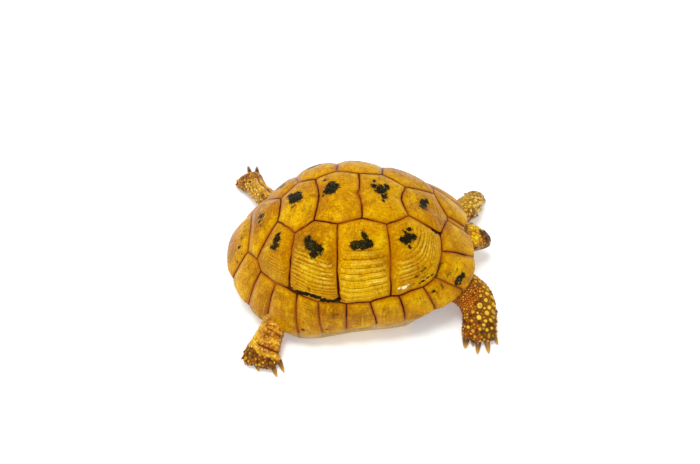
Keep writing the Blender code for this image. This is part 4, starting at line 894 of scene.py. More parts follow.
CLAWS = {
    "forefoot_right": (((-68.0, -84.0, 4.6), (-75.8, -82.4, 0.9), 2.6), ((-69.0, -89.0, 4.2), (-74.4, -88.2, 1.0), 1.7),
                       ((-70.0, -92.4, 4.4), (-80.6, -90.4, 0.8), 2.3), ((-69.6, -98.0, 4.4), (-80.4, -98.6, 0.8), 2.3),
                       ((-66.0, -103.0, 4.4), (-73.6, -106.4, 0.9), 2.0)),
    "forefoot_left": (((66.2, -121.4, 4.4), (70.8, -124.0, 0.9), 1.75), ((69.1, -118.6, 4.4), (75.6, -122.0, 0.8), 1.75),
                      ((71.4, -115.4, 4.4), (79.4, -118.0, 0.8), 1.75), ((72.5, -111.8, 4.4), (81.2, -113.0, 0.8), 1.75),
                      ((73.0, -107.8, 4.4), (80.2, -107.6, 0.9), 1.75)),
    "hindfoot_right": (((-79.0, 71.4, 4.2), (-84.2, 73.4, 1.0), 1.7), ((-82.0, 66.4, 4.8), (-89.1, 63.3, 0.8), 2.1),
                       ((-83.0, 55.4, 4.8), (-93.6, 50.5, 0.8), 2.3), ((-79.6, 51.0, 5.0), (-90.5, 45.7, 0.8), 2.0)),
    "hindfoot_left": (((95.0, 98.6, 4.4), (99.8, 102.4, 1.0), 1.8), ((100.8, 96.2, 4.6), (107.4, 99.6, 1.0), 1.9),
                      ((107.2, 88.6, 5.0), (126.0, 94.0, 1.2), 2.2), ((107.6, 82.6, 5.0), (124.6, 85.0, 1.2), 2.2)),
}


def unit(v):
    return v / (np.linalg.norm(v, axis=-1, keepdims=True) + 1e-12)


def curve_through(values, count):
    v = np.asarray(values, float)
    p = np.vstack([2 * v[0] - v[1], v, 2 * v[-1] - v[-2]])
    rows = []
    for t in np.linspace(0, len(v) - 1, count):
        i = min(int(t), len(v) - 2)
        f = t - i
        a, b, c, d = p[i], p[i + 1], p[i + 2], p[i + 3]
        rows.append(0.5 * (2 * b + (c - a) * f + (2 * a - 5 * b + 4 * c - d) * f ** 2 + (3 * b - a - 3 * c + d) * f ** 3))
    return np.array(rows)


class Limb:
    """A lofted limb: superelliptic sections along a smooth path."""

    def __init__(self, name, stations, rows=56, power=2.3, round_end=True):
        v = curve_through(stations, rows)
        self.name, self.power, self.round_end = name, power, round_end
        self.centre, self.half = v[:, :3], v[:, 3:5]
        self.along = unit(np.gradient(self.centre, axis=0))
        self.up = unit(np.array([0, 0, 1.0]) - self.along * self.along[:, 2:])
        self.side = np.cross(self.along, self.up)
        step = np.linalg.norm(np.diff(self.centre, axis=0), axis=1)
        self.at = np.r_[0, np.cumsum(step)]
        self.length = self.at[-1]

    def body(self, sides=44, floor=0.35, inside=SKIN_INSIDE):
        a = np.linspace(0, 2 * math.pi, sides, endpoint=False)
        c, s = np.cos(a), np.sin(a)
        cx, sx = np.sign(c) * np.abs(c) ** (2 / self.power), np.sign(s) * np.abs(s) ** (2 / self.power)
        cuts = [(k, 1.0, 0.0) for k in range(len(self.centre))]
        if self.round_end:
            cuts += [(-1, 0.93, 0.6), (-1, 0.80, 1.2), (-1, 0.62, 1.6), (-1, 0.40, 1.85)]
        rings = []
        for k, scale, move in cuts:
            h = (self.half[k] - inside) * scale
            ring = self.centre[k] + self.along[k] * move + cx[:, None] * self.side[k] * h[0] + sx[:, None] * self.up[k] * h[1]
            ring[:, 2] = np.maximum(ring[:, 2], floor)
            rings.append(ring)
        return closed_rings(rings)

    def locate(self, p):
        """(nearness, length along mm, side, up) of points: nearness is about 1 on the surface."""
        near = np.empty((len(p), 4))
        for first in range(0, len(p), 20000):
            q = p[first:first + 20000]
            k = ((q[:, None] - self.centre[None]) ** 2).sum(-1).argmin(1)
            d = q - self.centre[k]
            t = (d * self.along[k]).sum(1)
            a, b = (d * self.side[k]).sum(1), (d * self.up[k]).sum(1)
            past = np.maximum(np.abs(t) - 3.0, 0) / 4
            m = ((np.abs(a) / self.half[k, 0]) ** 2.3 + (np.abs(b) / self.half[k, 1]) ** 2.3) ** (1 / 2.3)
            near[first:first + 20000] = np.stack([m + past, self.at[k] + t, a / self.half[k, 0], b / self.half[k, 1]], 1)
        return near


def closed_rings(rings):
    n, rows = len(rings[0]), len(rings)
    points = np.vstack(list(rings) + [[np.mean(rings[0], axis=0), np.mean(rings[-1], axis=0)]])
    j = np.arange(n)
    first = np.stack([np.full(n, rows * n), (j + 1) % n, j], 1)
    last = np.stack([np.full(n, rows * n + 1), (rows - 1) * n + j, (rows - 1) * n + (j + 1) % n], 1)
    part = {"points": points, "faces": [grid_faces(rows, n), np.vstack([first, last])], "attributes": {}, "uv": None}
    q, t = part["faces"]
    all_tris = np.vstack([q[:, [0, 1, 2]], q[:, [0, 2, 3]], t])
    a, b, c = (points[all_tris[:, k]] for k in range(3))
    if (a * np.cross(b, c)).sum() < 0:
        part["faces"] = [g[:, ::-1] for g in part["faces"]]
    return part


LIMBS = {n: Limb(n, s) for n, s in (("foreleg_right", FORELEG_RIGHT), ("foreleg_left", FORELEG_LEFT), ("hindleg_right", HINDLEG_RIGHT),
                                    ("hindleg_left", HINDLEG_LEFT), ("tail", TAIL))}
LIMBS["neck"] = Limb("neck", NECK, 30, round_end=False)
PARTS = ["trunk", "foreleg_right", "foreleg_left", "hindleg_right", "hindleg_left", "tail", "neck", "head"]


def head_coords(p):
    """Share along the head, mm to its right side, mm up."""
    d = np.asarray(p, float) - HEAD_BACK
    return (d @ HEAD_T) / HEAD_LENGTH, d @ HEAD_SIDE, d @ HEAD_UP


def head_point(s, x, y):
    return HEAD_BACK + HEAD_T * HEAD_LENGTH * s + HEAD_SIDE * x + HEAD_UP * y


def head_rings(rows=46, sides=56, inside=0.5):
    rings = []
    for s, w, above, below in curve_through(HEAD_FORM, rows):
        a = np.linspace(0, 2 * math.pi, sides, endpoint=False)
        c, d = np.cos(a), np.sin(a)
        x = np.sign(c) * np.abs(c) ** (2 / 2.35) * (w - inside)
        y = np.sign(d) * np.abs(d) ** (2 / 2.35) * np.where(d > 0, above - inside, below - inside)
        rings.append(HEAD_BACK + (HEAD_TIP - HEAD_BACK) * (s * 0.985 - 0.02) + x[:, None] * HEAD_SIDE + y[:, None] * HEAD_UP)
    return rings


def eye_frame(sign):
    """Centre and outward, forward and up directions of an eye; sign 1 is the right one."""
    width = float(np.interp(EYE_ALONG, [h[0] for h in HEAD_FORM], [h[1] for h in HEAD_FORM]))
    centre = HEAD_BACK + (HEAD_TIP - HEAD_BACK) * EYE_ALONG + HEAD_SIDE * sign * (width - EYE_IN) + HEAD_UP * EYE_UP
    out = unit(HEAD_SIDE * sign * 0.94 + HEAD_T * 0.22 + HEAD_UP * 0.16)
    ahead = unit(HEAD_T - out * (HEAD_T @ out))
    return centre, out, ahead, np.cross(out, ahead) * (1 if np.cross(out, ahead) @ HEAD_UP > 0 else -1)


def inset_at(theta):
    deg = np.degrees(half_turn(theta))
    a, b = zip(*PLASTRON_INSET)
    return sum(np.interp(deg + d, a, b) for d in (-4, -2, 0, 2, 4)) / 5


def radial(theta, rho, z):
    x, y, _ = rim(half_turn(theta))
    d = np.hypot(x, y - SHELL_CENTRE_Y)
    side = np.where(np.mod(theta, 2 * math.pi) <= math.pi, -1.0, 1.0)
    return np.stack([side * x / d * rho, SHELL_CENTRE_Y + (y - SHELL_CENTRE_Y) / d * rho, np.broadcast_to(z, np.shape(rho))], -1)


def place_of(points):
    return np.hypot(points[:, 0], points[:, 1] - SHELL_CENTRE_Y), points[:, 2]


def trunk_rings(count=120, inside=0.7):
    theta = np.linspace(0, 2 * math.pi, count, endpoint=False)
    b = blend_of_bridge(theta)
    rho_rim, rim_z = place_of(shell(theta, np.ones(count)))
    edge = rho_rim - inset_at(theta)
    lip_rho, lip_z = place_of(shell(theta, lip_share(theta)))
    r93, z93 = place_of(shell(theta, np.full(count, 0.92)) - shell_normal(theta, np.full(count, 0.92)) * (WALL + 1.3))
    mix = lambda opening, bridge: opening + (bridge - opening) * b
    return [
        radial(theta, mix(r93 - 8, r93 - 12) - inside, np.minimum(mix(z93, 38), 40.0)),
        radial(theta, mix(r93 - 1.0, r93 - 6) - inside, mix(z93 - 0.5 - inside, 34)),
        radial(theta, mix(rho_rim - 21.0, lip_rho - 14) - inside, mix(rim_z - 2.0, lip_z - 0.5)),
        radial(theta, mix(rho_rim - 27.0, edge - 14) - inside, mix(rim_z * 0.55 + 2, PLASTRON_T + 1.4)),
        radial(theta, mix(edge - 12.0, edge - 16) - inside, np.full(count, PLASTRON_T + 0.9)),
    ]


def vertex_normals(points, tris):
    n = np.cross(points[tris[:, 1]] - points[tris[:, 0]], points[tris[:, 2]] - points[tris[:, 0]])
    out = np.stack([sum(np.bincount(tris[:, k], n[:, c], len(points)) for k in range(3)) for c in range(3)], 1)
    return unit(out)


def relax(points, tris, times, weight):
    """Laplacian smoothing, by a weight for each point."""
    e = np.unique(np.sort(np.vstack([tris[:, [0, 1]], tris[:, [1, 2]], tris[:, [2, 0]]]), axis=1), axis=0)
    count = np.bincount(e.ravel(), minlength=len(points))[:, None]
    for _ in range(times):
        total = np.stack([np.bincount(e[:, 0], points[e[:, 1], c], len(points)) + np.bincount(e[:, 1], points[e[:, 0], c], len(points)) for c in range(3)], 1)
        points = points + (total / np.maximum(count, 1) - points) * weight
    return points


def arrays_of(mesh):
    p = np.empty(len(mesh.vertices) * 3, np.float32)
    mesh.vertices.foreach_get("co", p)
    mesh.calc_loop_triangles()
    t = np.empty(len(mesh.loop_triangles) * 3, np.int32)
    mesh.loop_triangles.foreach_get("vertices", t)
    return p.reshape(-1, 3).astype(float) / MM, t.reshape(-1, 3)


def rim_inset(p):
    """How far inside the rim, in plan, points lie."""
    theta = np.mod(np.arctan2(-p[:, 0], -(p[:, 1] - SHELL_CENTRE_Y)), 2 * math.pi)
    # the angle in the tables follows the rim's own parameter, so look it up
    grid = np.radians(np.arange(0, 181, 1.0))
    x, y, _ = rim(grid)
    real = np.arctan2(x, -(y - SHELL_CENTRE_Y))
    t = np.interp(half_turn(theta), real, grid)
    x, y, z = rim(t)
    return np.hypot(x, y - SHELL_CENTRE_Y) - np.hypot(p[:, 0], p[:, 1] - SHELL_CENTRE_Y), t, z


def temporary(part_list, modifiers):
    """Arrays of a mesh made from several closed bodies, after some modifiers."""
    points, faces, _, _ = joined(part_list)
    obj = build("temporary", points, faces, bpy.data.materials.new("temporary"))
    for kind, settings in modifiers:
        m = obj.modifiers.new(kind, kind)
        for k, v in settings.items():
            setattr(m, k, v)
    mesh = bpy.data.meshes.new_from_object(obj.evaluated_get(bpy.context.evaluated_depsgraph_get()))
    out = arrays_of(mesh)
    bpy.data.meshes.remove(mesh)
    data, mat = obj.data, obj.data.materials[0]
    bpy.data.objects.remove(obj, do_unlink=True)
    bpy.data.meshes.remove(data)
    bpy.data.materials.remove(mat)
    return out


def small_ball(centre, radii, axes, sides=18, rows=12):
    rings = []
    for k in range(1, rows):
        lat = math.pi * k / rows
        a = np.linspace(0, 2 * math.pi, sides, endpoint=False)
        rings.append(centre + axes[2] * radii[2] * math.cos(lat)
                     + (np.cos(a)[:, None] * axes[0] * radii[0] + np.sin(a)[:, None] * axes[1] * radii[1]) * math.sin(lat))
    return closed_rings(rings)


def skin_base():
    """Points and triangles of the whole skin, before its folds."""
    bodies = [LIMBS[n].body() for n in ("foreleg_right", "foreleg_left", "hindleg_right", "hindleg_left")]
    bodies += [LIMBS["tail"].body(24, 0.6), LIMBS["neck"].body(44), closed_rings(head_rings()), closed_rings(trunk_rings())]
    for foot, claws in CLAWS.items():
        for root, tip, radius in claws:
            root, tip = np.array(root), np.array(tip)
            t = unit(tip - root)
            side = unit(np.cross(t, (0, 0, 1.0)))
            at = root + t * 1.6 + np.array([0, 0, 0.5])
            at[2] = max(at[2], radius * 0.98 + 0.4)
            bodies.append(small_ball(at, (3.0, radius + 0.15, radius * 0.98), (t, side, np.cross(side, t))))
    points, tris = temporary(bodies, [("REMESH", {"mode": "VOXEL", "voxel_size": 0.00078, "adaptivity": 0.0})])
    # what the shell hides is thinned out
    inset, t, _ = rim_inset(points)
    hidden = (inset > 27) | ((inset > 11) & (np.degrees(t) > 62) & (np.degrees(t) < 110))
    part = {"points": points, "faces": [tris], "attributes": {}, "uv": None}
    obj = build("temporary", points, [tris], bpy.data.materials.new("temporary"))
    group = obj.vertex_groups.new(name="hidden")
    group.add(np.where(hidden)[0].tolist(), 1.0, "REPLACE")
    m = obj.modifiers.new("thin", "DECIMATE")
    m.ratio = 1 - 0.86 * float(hidden.mean())
    m.vertex_group = "hidden"
    m.vertex_group_factor = 1000
    mesh = bpy.data.meshes.new_from_object(obj.evaluated_get(bpy.context.evaluated_depsgraph_get()))
    # the head has twice the points
    bm = bmesh.new()
    bm.from_mesh(mesh)
    def in_head(v):
        d = np.array(v.co) / MM - HEAD_BACK
        return d @ HEAD_T > -1.0 and abs(d @ HEAD_SIDE) < 14 and abs(d @ HEAD_UP) < 12
    inside = {v.index for v in bm.verts if in_head(v)}
    edges = [e for e in bm.edges if e.verts[0].index in inside and e.verts[1].index in inside]
    bmesh.ops.subdivide_edges(bm, edges=edges, cuts=1, use_grid_fill=True)
    bmesh.ops.triangulate(bm, faces=bm.faces[:])
    bm.to_mesh(mesh)
    bm.free()
    out = arrays_of(mesh)
    data, mat = obj.data, obj.data.materials[0]
    bpy.data.objects.remove(obj, do_unlink=True)
    bpy.data.meshes.remove(mesh)
    bpy.data.meshes.remove(data)
    bpy.data.materials.remove(mat)
    return out


def region(points):
    """Which part each point belongs to, and its length along, side and up shares there."""
    best = np.full(len(points), 1.22)
    part = np.zeros(len(points), int)
    s, a, b = (np.zeros(len(points)) for _ in range(3))
    for k, name in enumerate(PARTS):
        if name == "trunk":
            continue
        if name == "head":
            hs, hx, hy = head_coords(points)
            take = (hs > 0.02) & (np.abs(hx) < 15) & (np.abs(hy) < 13)
            part[take], s[take], a[take], b[take] = k, hs[take], hx[take], hy[take]
            continue
        near = LIMBS[name].locate(points)
        take = near[:, 0] < best
        best[take] = near[take, 0]
        part[take], s[take], a[take], b[take] = k, near[take, 1], near[take, 2], near[take, 3]
    return part, s, a, b


def mouth_height(s):
    """Where the mouth line lies on the head, mm above its axis."""
    return np.interp(s, (0.44, 0.52, 0.62, 0.75, 0.88, 0.96, 1.0), (-3.6, -3.1, -2.7, -2.5, -2.4, -2.5, -2.7))


def skin_shape(points, tris):
    """Adds folds, the mouth, nostrils and eye sockets."""
    head = head_coords(points)[0] > -0.03
    points = relax(points, tris, 3, 0.5)
    points = relax(points, tris, 3, np.where(head, 0.6, 0.0)[:, None])
    normal = vertex_normals(points, tris)
    part, s, a, b = region(points)
    # how dark each point is painted in the grooves of the folds: painted shade
    push, fold_shade = np.zeros(len(points)), np.zeros(len(points))
    # folds where the limbs leave the shell
    for name, first, last, period, depth in (("hindleg_right", 35, 46, 3.7, 0.75), ("foreleg_right", 12, 34, 3.6, 0.45), ("foreleg_left", 12, 34, 3.6, 0.45),
                                             ("hindleg_left", 12, 34, 4.2, 0.70), ("tail", 2, 20, 2.4, 0.30)):
        m = part == PARTS.index(name)
        wave = np.sin(2 * math.pi * (s + 1.6 * value_noise(points * 0.13, 91) + 1.2 * a) / period)
        window = smooth_step(s, first - 5, first + 2) * smooth_step(s, last + 6, last - 3)
        fade = 0.55 + 0.45 * value_noise(points * 0.16, 92)
        if name == "hindleg_right":
            fade = fade * (0.35 + 0.65 * smooth_step(a, 0.35, -0.05))
        push += np.where(m, depth * (wave * 0.9 - 0.3) * window * fade, 0)
        if name.startswith("hind"):
            side_ = smooth_step(a, 0.30, -0.05) if name.endswith("right") else 1.0
            fold_shade = np.where(m, smooth_step(wave, -0.15, -0.95) * window * side_ * np.clip(0.6 + 0.8 * value_noise(points * 0.30, 99), 0, 1), fold_shade)
    # one deep crease across the right shank, another above the foot, and a swelling between them
    m = part == PARTS.index("hindleg_right")
    where = s + 1.2 * value_noise(points * 0.15, 97) + 1.5 * a
    front = smooth_step(a, 0.55, 0.10)
    crease = np.exp(-(((where - 50.5) / 0.9) ** 2)) * front
    ankle = np.exp(-(((where - 58.6 + 3.5 * smooth_step(a, 0.0, 0.6)) / 0.8) ** 2)) * smooth_step(b, -0.4, 0.3)
    push += np.where(m, -1.2 * crease - 0.5 * ankle + 0.45 * np.exp(-(((where - 54.0) / 2.4) ** 2)), 0)
    fold_shade = np.where(m, np.maximum(fold_shade, np.maximum(crease * 1.15, ankle)), fold_shade)
    # long folds on the upper side of the left shank
    m = part == PARTS.index("hindleg_left")
    wave = np.sin(2 * math.pi * (a * 1.9 + 0.55 * value_noise(points * np.array([0.10, 0.10, 0.22]), 98) + 0.2))
    window = smooth_step(s, 24, 36) * smooth_step(s, 74, 66) * smooth_step(a, -0.25, 0.05) * smooth_step(b, -0.3, 0.1)
    push += np.where(m, 0.60 * wave * window, 0)
    fold_shade = np.where(m, np.maximum(fold_shade, smooth_step(wave, -0.25, -0.95) * window), fold_shade)
    m = (part == PARTS.index("neck")) | ((part == PARTS.index("head")) & (s < 0.12))
    along = (points - HEAD_BACK) @ HEAD_T
    wave = np.sin(2 * math.pi * (along + 1.4 * value_noise(points * 0.12, 93)) / 3.6)
    push += np.where(m, 0.55 * wave * smooth_step(along, 3.2, -1.5) * (0.7 + 0.5 * value_noise(points * 0.1, 94)), 0)
    m = part == 0
    push += np.where(m, 0.8 * np.abs(fractal(points * 0.11, 95, 3)) - 0.2, 0)
    # soles stay flat, and skin has small unevenness
    sole = smooth_step(points[:, 2], 0.5, 2.0)
    push += 0.28 * fractal(points * 0.17, 96, 3) * sole
    # creases between the toes
    for foot, claws in CLAWS.items():
        roots = np.array([c[0] for c in claws])
        tips = np.array([c[1] for c in claws])
        t = unit((tips - roots).mean(0))
        for k in range(len(roots) - 1):
            mid = (roots[k] + roots[k + 1]) / 2
            across = unit(np.cross(t, (0, 0, 1.0)))
            d = points - mid
            side, ahead = d @ across, d @ t
            push -= 0.75 * np.exp(-((side / 0.9) ** 2)) * smooth_step(ahead, -6, 0.5) * smooth_step(ahead, 9, 4) * (np.abs(d[:, 2]) < 9) * sole
    # head
    hs, hx, hy = head_coords(points)
    m = part == PARTS.index("head")
    line = hy - mouth_height(hs)
    slit = np.exp(-((line / 0.42) ** 2)) * smooth_step(hs, 0.33, 0.41)
    lip = np.exp(-(((line - 1.0) / 0.8) ** 2)) * smooth_step(hs, 0.50, 0.60)
    push += np.where(m, -0.85 * slit + 0.18 * lip, 0)
    for sign in (-1, 1):
        # brow, the cheek behind the mouth, the ear drum and the nostril
        brow = np.exp(-(((hs - EYE_ALONG) * HEAD_LENGTH / 3.6) ** 2) - (((hy - 6.3) / 1.5) ** 2)) * (hx * sign > 3)
        cheek = np.exp(-(((hs - 0.27) * HEAD_LENGTH / 4.0) ** 2) - (((hy + 2.6) / 3.2) ** 2)) * (hx * sign > 3)
        drum = np.hypot((hs - 0.13) * HEAD_LENGTH, hy + 0.6)
        push += np.where(m, 0.75 * brow + 0.45 * cheek - np.where(hx * sign > 3, 0.55 * smooth_step(drum, 2.5, 1.7), 0), 0)
        temple = np.exp(-(((hs - 0.24) * HEAD_LENGTH / 3.0) ** 2) - (((hy - 4.2) / 2.0) ** 2)) * (hx * sign > 3)
        push -= np.where(m, 0.35 * temple, 0)
        nostril = np.hypot(hx - sign * 1.05, (hy + 0.1) * 1.1)
        push -= np.where(m & (hs > 0.90), 0.9 * smooth_step(nostril, 0.72, 0.30), 0)
    points = points + normal * push[:, None]
    for sign in (-1, 1):
        centre, out, ahead, above = eye_frame(sign)
        d = points - centre
        depth = d @ out
        side = d - depth[:, None] * out
        wide = np.linalg.norm(side, axis=1)
        m = (wide < 5) & (depth > -3) & (depth < 6)
        radius = 2.25 + 0.60 * smooth_step(wide, 1.9, 2.5)
        target = np.sqrt(np.maximum(radius ** 2 - wide ** 2, 0.0))
        w = smooth_step(wide, 3.2, 2.3)
        points = np.where(m[:, None], points + out * ((target - depth) * w)[:, None], points)
    points[:, 2] = np.maximum(points[:, 2], 0.30)
    return points, np.clip(fold_shade, 0, 1)


def bare_skin(part, s, a, b):
    """1 where a leg has smooth skin without scales: the right shank, and the upper side of the left one."""
    right = (part == PARTS.index("hindleg_right")) * smooth_step(s + 4.5 * smooth_step(a, 0.0, 0.6), 58.5, 57.0)
    left = (part == PARTS.index("hindleg_left")) * smooth_step(s + 3.0 * a, 73, 70) * smooth_step(a, -0.42, -0.25) * smooth_step(b, -0.5, -0.2)
    return np.maximum(right, left)


# =============================================================================
# markings: the same on the skin and on the scales
# =============================================================================
def near_any(points, places, radius):
    """1 at the nearest of some places, 0 beyond the radius."""
    best = np.zeros(len(points))
    for x, y, z, w in places:
        d = np.linalg.norm(points - np.array([x, y, z]), axis=1)
        best = np.maximum(best, w * smooth_step(d, radius, radius * 0.45))
    return best


def marks(points, part, s, a, b):
    """Shares of pale yellow, of near black and of red-orange at each point."""
    n = len(points)
    pale, dark, warm = np.full(n, 0.10), np.full(n, 0.05), np.full(n, 0.45)
    cloud = fractal(points * 0.07, 120, 3)
    fine = fractal(points * 0.35, 121, 2)

    def put(target, mask, value):
        target[mask] = (value[mask] if np.ndim(value) else value)

    m = part == PARTS.index("foreleg_right")
    put(warm, m, 0.75 - 0.55 * smooth_step(a, 0.2, -0.6) - 0.25 * smooth_step(s, 44, 60))
    put(dark, m, 0.08 + 0.30 * smooth_step(s, 52, 66) + 0.25 * smooth_step(cloud, 0.10, 0.35) * smooth_step(s, 30, 50))
    put(pale, m, 0.10 + 0.25 * smooth_step(a, 0.0, -0.7))
    m = part == PARTS.index("foreleg_left")
    put(warm, m, np.full(n, 0.25))
    put(pale, m, 0.30 + 0.3 * smooth_step(cloud, -0.1, 0.3))
    put(dark, m, 0.06 + 0.30 * smooth_step(s, 56, 70))
    m = part == PARTS.index("hindleg_right")
    put(warm, m, (0.35 + 0.3 * smooth_step(cloud, -0.2, 0.2)) * (1 - 0.75 * smooth_step(s, 56, 60)))
    rim_ = smooth_step(np.abs(s + 3.5 * smooth_step(a, 0.0, 0.6) - 56.4), 1.4, 0.4)
    put(pale, m, np.maximum(0.15 + 0.6 * smooth_step(a, 0.1, 0.7) * smooth_step(s, 58, 50), 0.95 * rim_))
    put(dark, m, 0.02 + 0.38 * smooth_step(s + 3.5 * smooth_step(a, 0.0, 0.6), 57, 59) + 0.24 * smooth_step(fine, -0.1, 0.4) * smooth_step(s, 54, 59))
    m = part == PARTS.index("hindleg_left")
    put(warm, m, np.full(n, 0.40))
    put(pale, m, 0.50 * smooth_step(s, 84, 62))
    put(dark, m, 0.04 + 0.30 * smooth_step(s, 68, 77) + 0.45 * smooth_step(fine, 0.05, 0.40))
    m = part == PARTS.index("tail")
    put(dark, m, 0.25 + 0.2 * cloud)
    m = part == PARTS.index("neck")
    put(dark, m, 0.35 + 0.25 * cloud)
    put(warm, m, 0.35)
    m = part == 0
    put(dark, m, 0.25 + 0.2 * cloud)
    m = part == PARTS.index("head")
    side = np.abs(a)
    top = smooth_step(b, 2.0, 6.0)
    put(warm, m, 0.25)
    put(dark, m, 0.16 + 0.16 * top + 0.50 * smooth_step(s, 0.42, 0.80) + 0.30 * cloud)
    yellow = near_any(points, ((12.6, -100.6, 32.0, 1.0), (11.0, -103.6, 31.5, 0.95), (11.6, -97.5, 33.0, 0.9)), 5.4)
    yellow = np.maximum(yellow, near_any(points, ((1.0, -98.0, 32.9, 1.0), (-1.0, -99.2, 31.5, 1.0), (2.5, -100.0, 33.0, 0.7)), 4.4))
    yellow = np.maximum(yellow, near_any(points, ((-3.1, -100.2, 28.8, 0.9), (-3.0, -97.5, 29.6, 0.7)), 1.9))
    yellow = np.maximum(yellow, near_any(points, ((3.6, -108.0, 29.5, 0.5), (2.4, -109.7, 27.3, 0.55)), 1.5))
    yellow = np.maximum(yellow, 0.5 * smooth_step(b, -3.5, -6.5))
    orange = near_any(points, ((-0.7, -102.8, 30.0, 0.65), (1.6, -101.8, 31.4, 0.45), (-2.2, -102.2, 29.2, 0.55)), 1.8)
    put(pale, m, np.maximum(yellow, 0.36 + 0.3 * smooth_step(b, 0, -4)))
    warm[m] = (warm * (1 - 0.85 * yellow))[m]
    dark[m] = (dark * (1 - 0.97 * yellow) * (1 - 0.6 * orange) * (1 - 0.45 * smooth_step(b, 0, -4)))[m]
    warm[m] = np.maximum(warm, orange)[m]
    # the snout tip is lighter: painted highlight
    dark[m] = (dark - 0.55 * smooth_step(s, 0.86, 0.97))[m]
    black = near_any(points, ((8.0, -107.4, 30.4, 1.0), (5.5, -105.4, 31.2, 0.8), (8.0, -104.5, 32.0, 0.75)), 3.6)
    dark[m] = np.maximum(dark, black)[m]
    dark += 0.16 * fine
    return np.clip(pale, 0, 1), np.clip(dark, 0, 1), np.clip(warm, 0, 1)


# =============================================================================
# materials of the soft parts
# =============================================================================
def body_colour(t, deep, head=False):
    """The markings as colours; the skin between the scales gets darker copies of them, as painted shade in the gaps."""
    pale, dark, warm, tone = (t.attr(k) for k in ("pale", "dark", "warm", "tone"))
    mottle = t.noise(300, 3, 0.6)
    if deep:
        base = t.mix(warm, srgb(156, 94, 6), srgb(164, 70, 0))
        base = t.mix(t.step(pale, 0.1, 0.9), base, srgb(220, 162, 14))
        base = t.mix(t.step(dark, 0.15, 0.95), base, srgb(70, 37, 6))
        bare, fold_shade = t.attr("bare"), t.attr("fold_shade")
        long_ = t.noise(130, 5, 0.68)
        smooth = t.ramp(long_, [(0.38, srgb(134, 56, 0)), (0.46, srgb(190, 106, 2)), (0.54, srgb(222, 148, 8)), (0.64, srgb(250, 206, 60))])
        smooth = t.mix(t.math("MULTIPLY", pale, 0.6), smooth, srgb(244, 200, 50))
        glint = t.noise(520, 5, 0.72)
        smooth = t.mix(t.math("MULTIPLY", t.step(glint, 0.53, 0.66), 0.60), smooth, srgb(252, 226, 130))
        smooth = t.mix(t.math("MULTIPLY", t.step(glint, 0.46, 0.33), 0.50), smooth, srgb(142, 60, 0))
        base = t.mix(bare, base, smooth)
        # painted shade: darker down in the fold grooves, near black at the deepest
        base = t.mix(t.math("MULTIPLY", t.step(fold_shade, 0.08, 0.80), 0.80), base, srgb(134, 48, 2))
        base = t.mix(t.math("MULTIPLY", t.step(fold_shade, 0.80, 1.0), 0.75), base, srgb(52, 16, 4))
    else:
        base = t.mix(warm, srgb(218, 152, 14), srgb(216, 102, 2))
        base = t.mix(t.math("MULTIPLY", t.math("SUBTRACT", tone, 0.5), 0.9, clamp=True), base, srgb(246, 192, 60))
        base = t.mix(t.step(pale, 0.15, 0.85 if head else 0.95), base, srgb(248, 206, 22) if head else srgb(244, 206, 66))
        base = t.mix(t.step(t.math("ADD", dark, t.math("MULTIPLY", t.math("SUBTRACT", tone, 0.5), 0.62)), 0.20, 0.98), base, srgb(56, 26, 3))
    return t.mix(t.math("MULTIPLY", t.step(mottle, 0.50, 0.72), 0.30), base, srgb(96, 48, 12)), mottle


def tone_of(t):
    return t.attr("tone")


def skin_material():
    t = Tree("skin", 0.38, 0.26, coat=0.03, coat_roughness=0.25, tint=(1.0, 0.7, 0.3))
    base, mottle = body_colour(t, True)
    crease = t.voronoi(900, out="Distance")
    # painted shade: dark lines in the fine creases of the skin
    base = t.mix(t.math("MULTIPLY", t.step(crease, 0.35, 0.75), 0.35), base, srgb(40, 20, 8))
    height = t.math("ADD", t.math("MULTIPLY", crease, -1.0), t.math("MULTIPLY", t.noise(1400, 3, 0.6), 0.4))
    return t.finish(base, 0.42, t.bump(height, 0.00025, 0.8))


def scale_material(head=False):
    t = Tree("head_scale_horn" if head else "scale_horn", 0.28, 0.30, coat=0.04, coat_roughness=0.12, tint=(1.0, 0.7, 0.25))
    base, mottle = body_colour(t, False, head)
    edge = t.attr("edge")
    rim = t.math("MULTIPLY_ADD", t.step(t.attr("pale"), 0.3, 0.9), -0.50, 0.86) if head else 0.86
    # painted shade: a dark rim where each scale slopes down into the gap between scales
    base = t.mix(t.math("MULTIPLY", t.step(edge, 0.62, 1.0), rim), base, srgb(92, 34, 2))
    core = t.math("MULTIPLY", t.step(edge, 0.50, 0.15), t.step(tone_of(t), 0.72, 0.90))
    base = t.mix(t.math("MULTIPLY", core, 0.10 if head else 0.62), base, srgb(96, 46, 6))
    blots = t.noise(520, 4, 0.7)
    base = t.mix(t.math("MULTIPLY", t.step(blots, 0.52, 0.66), 0.30 if head else 0.46), base, srgb(104, 48, 2))
    base = t.mix(t.math("MULTIPLY", t.step(blots, 0.44, 0.30), 0.36), base, srgb(250, 206, 70))
    ring = t.math("FRACT", t.math("MULTIPLY", edge, 5.0))
    base = t.mix(t.math("MULTIPLY", t.step(ring, 0.30, 0.0), 0.16), base, srgb(100, 52, 14))
    height = t.math("ADD", t.math("MULTIPLY", ring, 0.5), t.noise(900, 3, 0.6))
    return t.finish(base, t.ramp(mottle, [(0.3, (0.24,) * 3), (0.8, (0.42,) * 3)]), t.bump(height, 0.00008, 0.6))


# =============================================================================
# scales
# =============================================================================
ATLAS = {name: ((k % 3) / 3, (k // 3) / 3) for k, name in enumerate(PARTS)}


